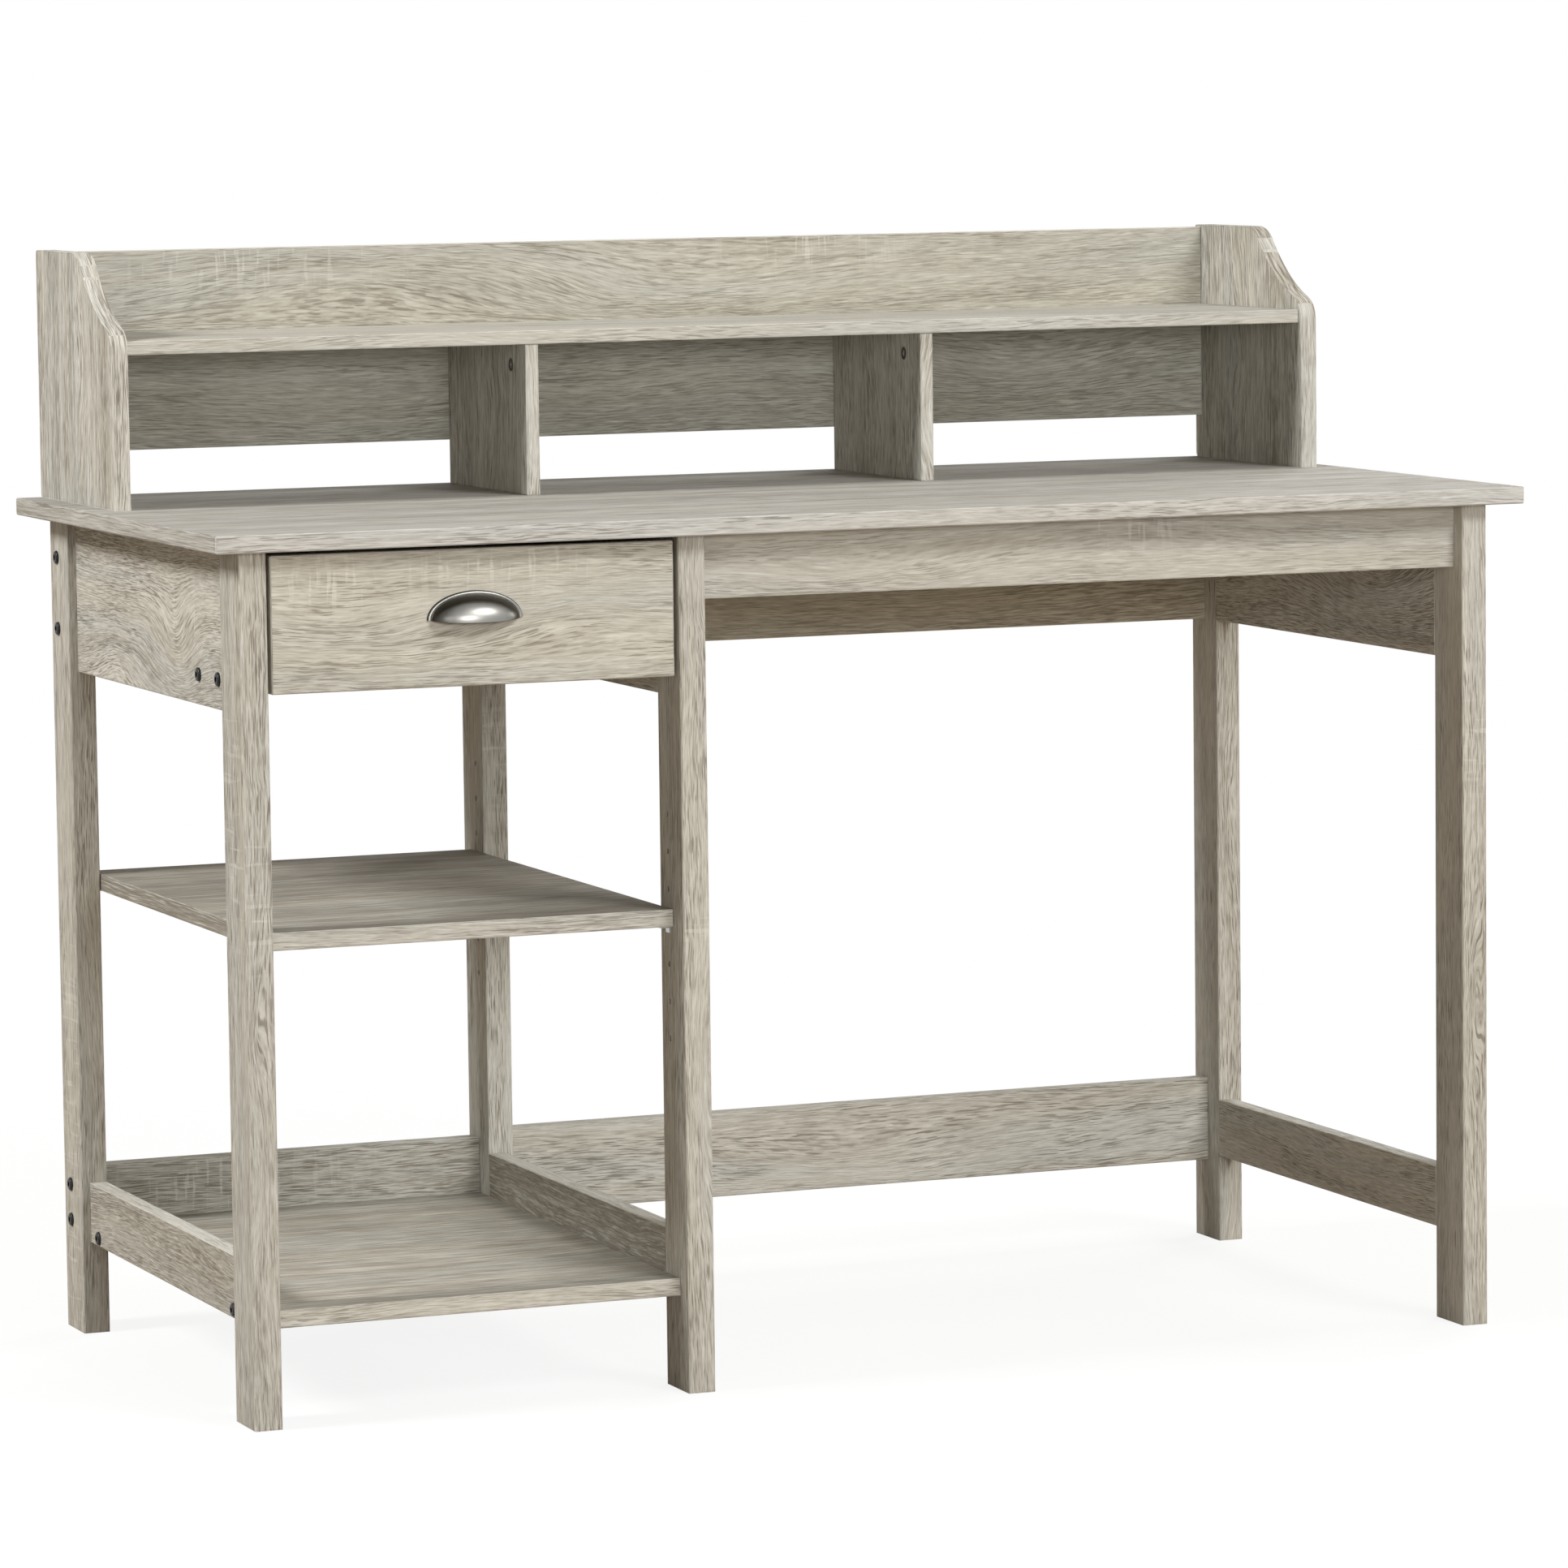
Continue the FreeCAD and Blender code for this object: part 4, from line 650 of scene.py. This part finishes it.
def turned_tree(name, size_names, rows_of, recess):
    """Geometry nodes that turn one fitting from rows of radius and height and set it on each point.

    rows_of gives the rows from the named sizes, and a marked row follows the recess's outline.
    """
    group = bpy.data.node_groups.new(name, "GeometryNodeTree")
    group.interface.new_socket("Geometry", in_out="INPUT", socket_type="NodeSocketGeometry")
    for size in size_names:
        group.interface.new_socket(size, in_out="INPUT", socket_type="NodeSocketFloat")
    group.interface.new_socket("Finish", in_out="INPUT", socket_type="NodeSocketMaterial")
    group.interface.new_socket("Geometry", in_out="OUTPUT", socket_type="NodeSocketGeometry")
    t = Tree(group)
    points, finish, *given = t.node("NodeGroupInput", out=("Geometry", "Finish", *size_names))
    rows = rows_of(dict(zip(size_names, given)))
    grid = t.node("GeometryNodeMeshGrid", None, {"Size X": 1.0, "Size Y": float(len(rows) - 1),
                                                 "Vertices X": TURNS + 1, "Vertices Y": len(rows)})
    # the flat grid's width is wound into one turn, and its length counts the rows
    u, v, _ = t.parts(t.node("GeometryNodeInputPosition"))
    turn = (u + 0.5) * (2 * math.pi)
    row = v + (len(rows) - 1) / 2
    outline = recess(turn)
    radius, height = 0.0, 0.0
    for i, (reach, level, recessed) in enumerate(rows):
        here = row.equals(float(i), 0.5)
        radius = here * (outline * reach if recessed else reach) + radius
        height = here * level + height
    shape = t.node("GeometryNodeSetPosition", None, {
        "Geometry": grid, "Position": t.vector(turn.cosine() * radius, turn.sine() * radius, height)})
    shape = t.node("GeometryNodeMergeByDistance", None, {"Geometry": shape, "Distance": POLE_CLOSE})
    shape = t.node("GeometryNodeFlipFaces", None, {"Mesh": shape})
    shape = t.node("GeometryNodeSetShadeSmooth", None, {"Geometry": shape, "Shade Smooth": False})
    towards = t.node("GeometryNodeInputNamedAttribute", {"data_type": "FLOAT_VECTOR"}, {"Name": "towards"})
    turned = t.node("FunctionNodeAlignRotationToVector", {"axis": "Z"}, {"Vector": towards})
    placed = t.node("GeometryNodeInstanceOnPoints", None, {
        "Points": points, "Instance": shape, "Rotation": turned})
    placed = t.node("GeometryNodeRealizeInstances", None, {"Geometry": placed})
    placed = t.node("GeometryNodeSetMaterial", None, {"Geometry": placed, "Material": finish})
    t.node("NodeGroupOutput", None, {"Geometry": placed})
    return group


def hexagon(turn):
    """The wall of a socket of unit size across its flats, at each turn."""
    sixth = math.pi / 3
    return 0.5 / (turn.remainder(sixth) - sixth / 2).cosine()


# the half width of a cross's arm beside its reach, and a trifle that keeps a divisor off zero
ARM_HALF = 0.3
NOT_ZERO = 0.001


def cross(turn):
    """The wall of a cross of unit reach from its middle, at each turn."""
    c, s = abs(turn.cosine()) + NOT_ZERO, abs(turn.sine()) + NOT_ZERO
    along_x = (1 / c).least(ARM_HALF / s)
    along_y = (1 / s).least(ARM_HALF / c)
    return along_x.most(along_y).least(1.0)


# a button head's round, as shares of its radius and its height
DOME = [(0.80, 0.10), (0.92, 0.30), (0.985, 0.58), (1.0, 0.82), (0.985, 1.0)]


def button_head(s):
    """A low domed head with a chamfered recess, over a plain shank.

    Heights run down from the head's top, and the rows from the middle of the recess outwards.
    """
    r, h = s["Head radius"], s["Head height"]
    size, deep = s["Recess size"], s["Recess depth"]
    shank, foot = s["Shank radius"], 0 - h - s["Shank length"]
    recess = [(0.0, 0 - deep * 1.1, False), (size, 0 - deep, True), (size, -0.12 * MM, True),
              (size * 1.1, 0.0, True), (r * 0.62, -0.04 * MM, False)]
    dome = [(r * out, h * -down, False) for out, down in DOME]
    return recess + dome + [(shank, 0 - h, False), (shank, foot, False), (0.0, foot, False)]


def barrel(s):
    """A cam: a cross recess in a dished face with a raised rim, and a plain barrel below."""
    r, deep = s["Barrel radius"], s["Recess depth"]
    size, length = s["Recess size"], s["Barrel length"]
    recess = [(0.0, 0 - deep, False), (size * 0.8, 0 - deep, True), (size, -0.4 * MM, True),
              (size * 1.12, -0.25 * MM, True)]
    face = [(r * 0.72, -0.28 * MM, False), (r * 0.78, -0.02 * MM, False), (r * 0.93, 0.0, False)]
    return recess + face + [(r * 0.97, -0.2 * MM, False), (r * 0.97, 0 - length, False),
                            (0.0, 0 - length, False)]


def smooth_sides(mesh, degrees):
    """Smooth shading, with sharp edges where faces meet at more than an angle."""
    mesh.polygons.foreach_set("use_smooth", [True] * len(mesh.polygons))
    mesh.set_sharp_from_angle(angle=math.radians(degrees))


def set_fittings(node, tree, places, sizes, finish, body):
    """Put one turned fitting on each place, as one piece that stands for a node of the frame."""
    name = node + "_turned"
    mesh = bpy.data.meshes.new(name)
    mesh.from_pydata([tip for tip, _ in places], [], [])
    towards = mesh.attributes.new("towards", "FLOAT_VECTOR", "POINT")
    for i, (_, way) in enumerate(places):
        towards.data[i].vector = way
    holder = put_in_scene(name + "_places", mesh)
    modifier = holder.modifiers.new("turned", "NODES")
    modifier.node_group = tree
    known = {**sizes, "Finish": finish}
    for item in tree.interface.items_tree:
        if item.in_out == "INPUT" and item.name in known:
            modifier[item.identifier] = known[item.name]
    holder.update_tag()
    seen = holder.evaluated_get(bpy.context.evaluated_depsgraph_get())
    made = bpy.data.meshes.new_from_object(seen)
    bpy.data.objects.remove(holder)
    made.name = name
    piece = put_in_scene(name, made)
    smooth_sides(made, degrees=35)
    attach(piece, body)
    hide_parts(node)


FRAME_SCREW = {"Head radius": 6.0 * MM, "Head height": 2.6 * MM, "Recess size": 4.6 * MM,
               "Recess depth": 1.6 * MM, "Shank radius": 2.95 * MM, "Shank length": 50.0 * MM}
RUNNER_SCREW = {"Head radius": 3.0 * MM, "Head height": 1.0 * MM, "Recess size": 1.9 * MM,
                "Recess depth": 0.6 * MM, "Shank radius": 1.7 * MM, "Shank length": 10.0 * MM}
PULL_SCREW = {"Head radius": 4.0 * MM, "Head height": 2.4 * MM, "Recess size": 2.4 * MM,
              "Recess depth": 1.0 * MM, "Shank radius": 1.95 * MM, "Shank length": 20.0 * MM}
CAM = {"Barrel radius": 6.2 * MM, "Barrel length": 9.5 * MM, "Recess size": 3.4 * MM,
       "Recess depth": 2.2 * MM}
socket_screw = turned_tree("socket_head_screw", list(FRAME_SCREW), button_head, hexagon)
cross_screw = turned_tree("cross_head_screw", list(RUNNER_SCREW), button_head, cross)
cam_lock = turned_tree("cam_lock", list(CAM), barrel, cross)

for side in ("left", "middle", "right"):
    node = f"{side}_frame_screws"
    set_fittings(node, socket_screw, headed_places(node), FRAME_SCREW, black_oxide, "desk")
set_fittings("hutch_cam_locks", cam_lock, cam_places("hutch_cam_locks"), CAM, shaded_cast_zinc, "desk")
for node, sizes, body in (("channel_screws", RUNNER_SCREW, "desk"),
                          ("drawer_runner_screws", RUNNER_SCREW, "drawer"),
                          ("cup_pull_screws", PULL_SCREW, "drawer")):
    set_fittings(node, cross_screw, headed_places(node), sizes, bright_zinc, body)


# ---------------------------------------------------------------- cup pull
# the shell's half width, its height and its wall, and how far over it bows from the drawer front
PULL_HALF, PULL_TALL, PULL_WALL = 39.0 * MM, 20.5 * MM, 1.6 * MM
PULL_BOW = math.radians(95.5)
LIP_SWELL = 0.9 * MM
# sections round the half oval, and steps over the shell in each
STATIONS, STEPS = 72, 28
# the rim's section in millimetres: its lap outside the shell, and its rise off the drawer front
RIM_SECTION = [(-0.4, 0.0), (3.0, 0.0), (3.0, 0.9), (2.75, 1.7), (2.1, 2.35), (1.2, 2.6), (0.3, 2.45),
               (-0.4, 2.1)]
RIM_LAP = max(lap for lap, _ in RIM_SECTION) * MM


def skin(shape, rings):
    """Faces from each ring of points to the next, with the first and the last ring closed."""
    for first, second in zip(rings, rings[1:]):
        for k in range(len(first)):
            n = (k + 1) % len(first)
            shape.faces.new((first[k], first[n], second[n], second[k]))
    shape.faces.new(rings[0])
    shape.faces.new(rings[-1])


def cup_pull():
    """A smooth half-oval shell with a rolled lip and a rounded rim that lies on the drawer front."""
    lo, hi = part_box("cup_pull")
    centre_x = (lo.x + hi.x) / 2
    face_y = hi.y
    mouth_z = hi.z - PULL_TALL - RIM_LAP
    shape = bmesh.new()

    def shell_point(u, turn, inset):
        """A point at u round the half oval, turned out from the drawer front over the top."""
        reach = (PULL_TALL - inset) * math.sin(u)
        return Vector((centre_x + (PULL_HALF - inset) * math.cos(u), face_y - reach * math.sin(turn),
                       mouth_z + reach * math.cos(turn)))

    def shell_ring(u):
        """One closed section of the shell: out over the top, round the lip and back inside."""
        out = [shell_point(u, PULL_BOW * k / STEPS, 0.0) for k in range(STEPS + 1)]
        lip = shell_point(u, PULL_BOW + LIP_SWELL / PULL_TALL, PULL_WALL / 2)
        back = [shell_point(u, PULL_BOW * k / STEPS, PULL_WALL) for k in range(STEPS, -1, -1)]
        return out + [lip] + back

    def rim_ring(u):
        """One section of the rim, which follows the half oval on the drawer front."""
        return [Vector((centre_x + (PULL_HALF + lap * MM) * math.cos(u), face_y - rise * MM,
                        mouth_z + (PULL_TALL + lap * MM) * math.sin(u))) for lap, rise in RIM_SECTION]

    turns = [math.pi * k / STATIONS for k in range(STATIONS + 1)]
    skin(shape, [[shape.verts.new(p) for p in shell_ring(u)] for u in turns[1:-1]])
    skin(shape, [[shape.verts.new(p) for p in rim_ring(u)] for u in turns])
    bmesh.ops.recalc_face_normals(shape, faces=shape.faces)
    mesh = bpy.data.meshes.new("cup_pull_polished")
    shape.to_mesh(mesh)
    shape.free()
    mesh.materials.append(nickel)
    smooth_sides(mesh, degrees=40)
    piece = put_in_scene("cup_pull_polished", mesh)
    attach(piece, "drawer")
    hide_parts("cup_pull")


cup_pull()


# ---------------------------------------------------------------- floor, light and camera
WHITE = (1.0, 1.0, 1.0, 1.0)
FLOOR_REACH = 40.0
FLOOR_BOUNCE = (0.32, 0.26, 0.20)
# how much shadow the floor shows: this share as far as the near distance, and none past the far one
SHADOW_SHARE, SHADOW_NEAR, SHADOW_FAR = 0.13, 0.8, 1.9
AMBIENT = 0.19
AMBIENT_COLOUR = (1.0, 0.81, 0.58)
DESK_MIDDLE = Vector((0.0, 0.0, 0.45))


def directly_seen(tree):
    """1 for camera, mirrored and clear rays, 0 for the rays that light other surfaces."""
    camera_ray, mirrored, clear = tree.node(
        "ShaderNodeLightPath", out=("Is Camera Ray", "Is Glossy Ray", "Is Transmission Ray"))
    return camera_ray.most(mirrored).most(clear)


def floor_white():
    """White where it is seen, with a share near the desk that takes its shadow, and a dimmer bounce."""
    f = Finish("studio_floor")
    seen = directly_seen(f)
    x, y, _ = f.parts(f.here)
    share = ((x * x + y * y) ** 0.5).rise(SHADOW_FAR, SHADOW_NEAR) * SHADOW_SHARE
    matt = f.node("ShaderNodeBsdfDiffuse", None, {"Color": f.blend(seen, rgba(FLOOR_BOUNCE), WHITE)})
    pale = f.node("ShaderNodeEmission", None, {"Color": WHITE, "Strength": 1.0})
    mixed = f.node("ShaderNodeMixShader", None, {0: seen * (1 - share), 1: matt, 2: pale})
    f.node("ShaderNodeOutputMaterial", None, {"Surface": mixed})
    return f.material


floor_mesh = bpy.data.meshes.new("studio_floor")
floor_mesh.from_pydata([(-FLOOR_REACH, -FLOOR_REACH, 0), (FLOOR_REACH, -FLOOR_REACH, 0),
                        (FLOOR_REACH, FLOOR_REACH, 0), (-FLOOR_REACH, FLOOR_REACH, 0)],
                       [], [(0, 1, 2, 3)])
floor_mesh.materials.append(floor_white())
put_in_scene("studio_floor", floor_mesh)

world = bpy.data.worlds.new("studio")
bpy.context.scene.world = world
world.use_nodes = True
sky = Tree(world.node_tree)
sky.tree.nodes.clear()
soft = sky.node("ShaderNodeBackground", None, {"Color": rgba(AMBIENT_COLOUR), "Strength": AMBIENT})
white = sky.node("ShaderNodeBackground", None, {"Color": WHITE, "Strength": 1.0})
mixed = sky.node("ShaderNodeMixShader", None, {0: directly_seen(sky), 1: soft, 2: white})
sky.node("ShaderNodeOutputWorld", None, {"Surface": mixed})


def lamp(name, heading, elevation, distance, width, height, level):
    """A soft box round the desk. Heading 0 is at the front and 90 at the left, in degrees.

    At level 1 it alone shows the colour of a facing surface as written.
    """
    out, high = math.radians(heading), math.radians(elevation)
    towards = Vector((-math.sin(out) * math.cos(high), -math.cos(out) * math.cos(high), math.sin(high)))
    data = bpy.data.lights.new(name, "AREA")
    data.shape, data.size, data.size_y = "RECTANGLE", width, height
    data.energy = level * (math.pi * distance) ** 2
    box = put_in_scene(name, data)
    box.visible_camera = False
    aim = (-towards).to_track_quat("-Z", "Y").to_matrix().to_4x4()
    box.matrix_world = Matrix.Translation(DESK_MIDDLE + towards * distance) @ aim


lamp("front_low_softbox", heading=4, elevation=9, distance=6.0, width=1.8, height=0.8, level=0.30)
lamp("front_high_softbox", heading=-22, elevation=34, distance=6.0, width=2.0, height=1.4, level=0.52)
lamp("front_left_fill", heading=42, elevation=10, distance=6.0, width=1.8, height=1.4, level=0.07)
lamp("left_softbox", heading=91, elevation=38, distance=8.0, width=1.6, height=2.0, level=0.80)
lamp("overhead_softbox", heading=0, elevation=85, distance=5.0, width=3.0, height=3.0, level=0.05)
lamp("right_fill", heading=-85, elevation=12, distance=6.0, width=2.4, height=1.8, level=0.25)
lamp("rear_fill", heading=232, elevation=14, distance=6.0, width=2.4, height=1.6, level=0.50)

# the camera stands in front on the left, turned to the right from straight back, and looks down a little
CAMERA_AT = Vector((-2.30209, -5.74970, 1.12607))
AZIMUTH, DOWN, ROLL = math.radians(21.955), math.radians(5.897), math.radians(-0.700)
SENSOR, LENS = 36.0, 160.93
forward = Vector((math.sin(AZIMUTH) * math.cos(DOWN), math.cos(AZIMUTH) * math.cos(DOWN),
                  -math.sin(DOWN)))
across = Vector((math.cos(AZIMUTH), -math.sin(AZIMUTH), 0.0))
upright = across.cross(forward)
right = math.cos(ROLL) * across + math.sin(ROLL) * upright
up = math.cos(ROLL) * upright - math.sin(ROLL) * across
camera_data = bpy.data.cameras.new("desk_camera")
camera_data.sensor_width, camera_data.lens = SENSOR, LENS
camera = put_in_scene("desk_camera", camera_data)
aim = Matrix((right, up, -forward)).transposed()
camera.matrix_world = Matrix.Translation(CAMERA_AT) @ aim.to_4x4()
bpy.context.scene.camera = camera
bpy.context.scene.view_settings.view_transform = "Standard"
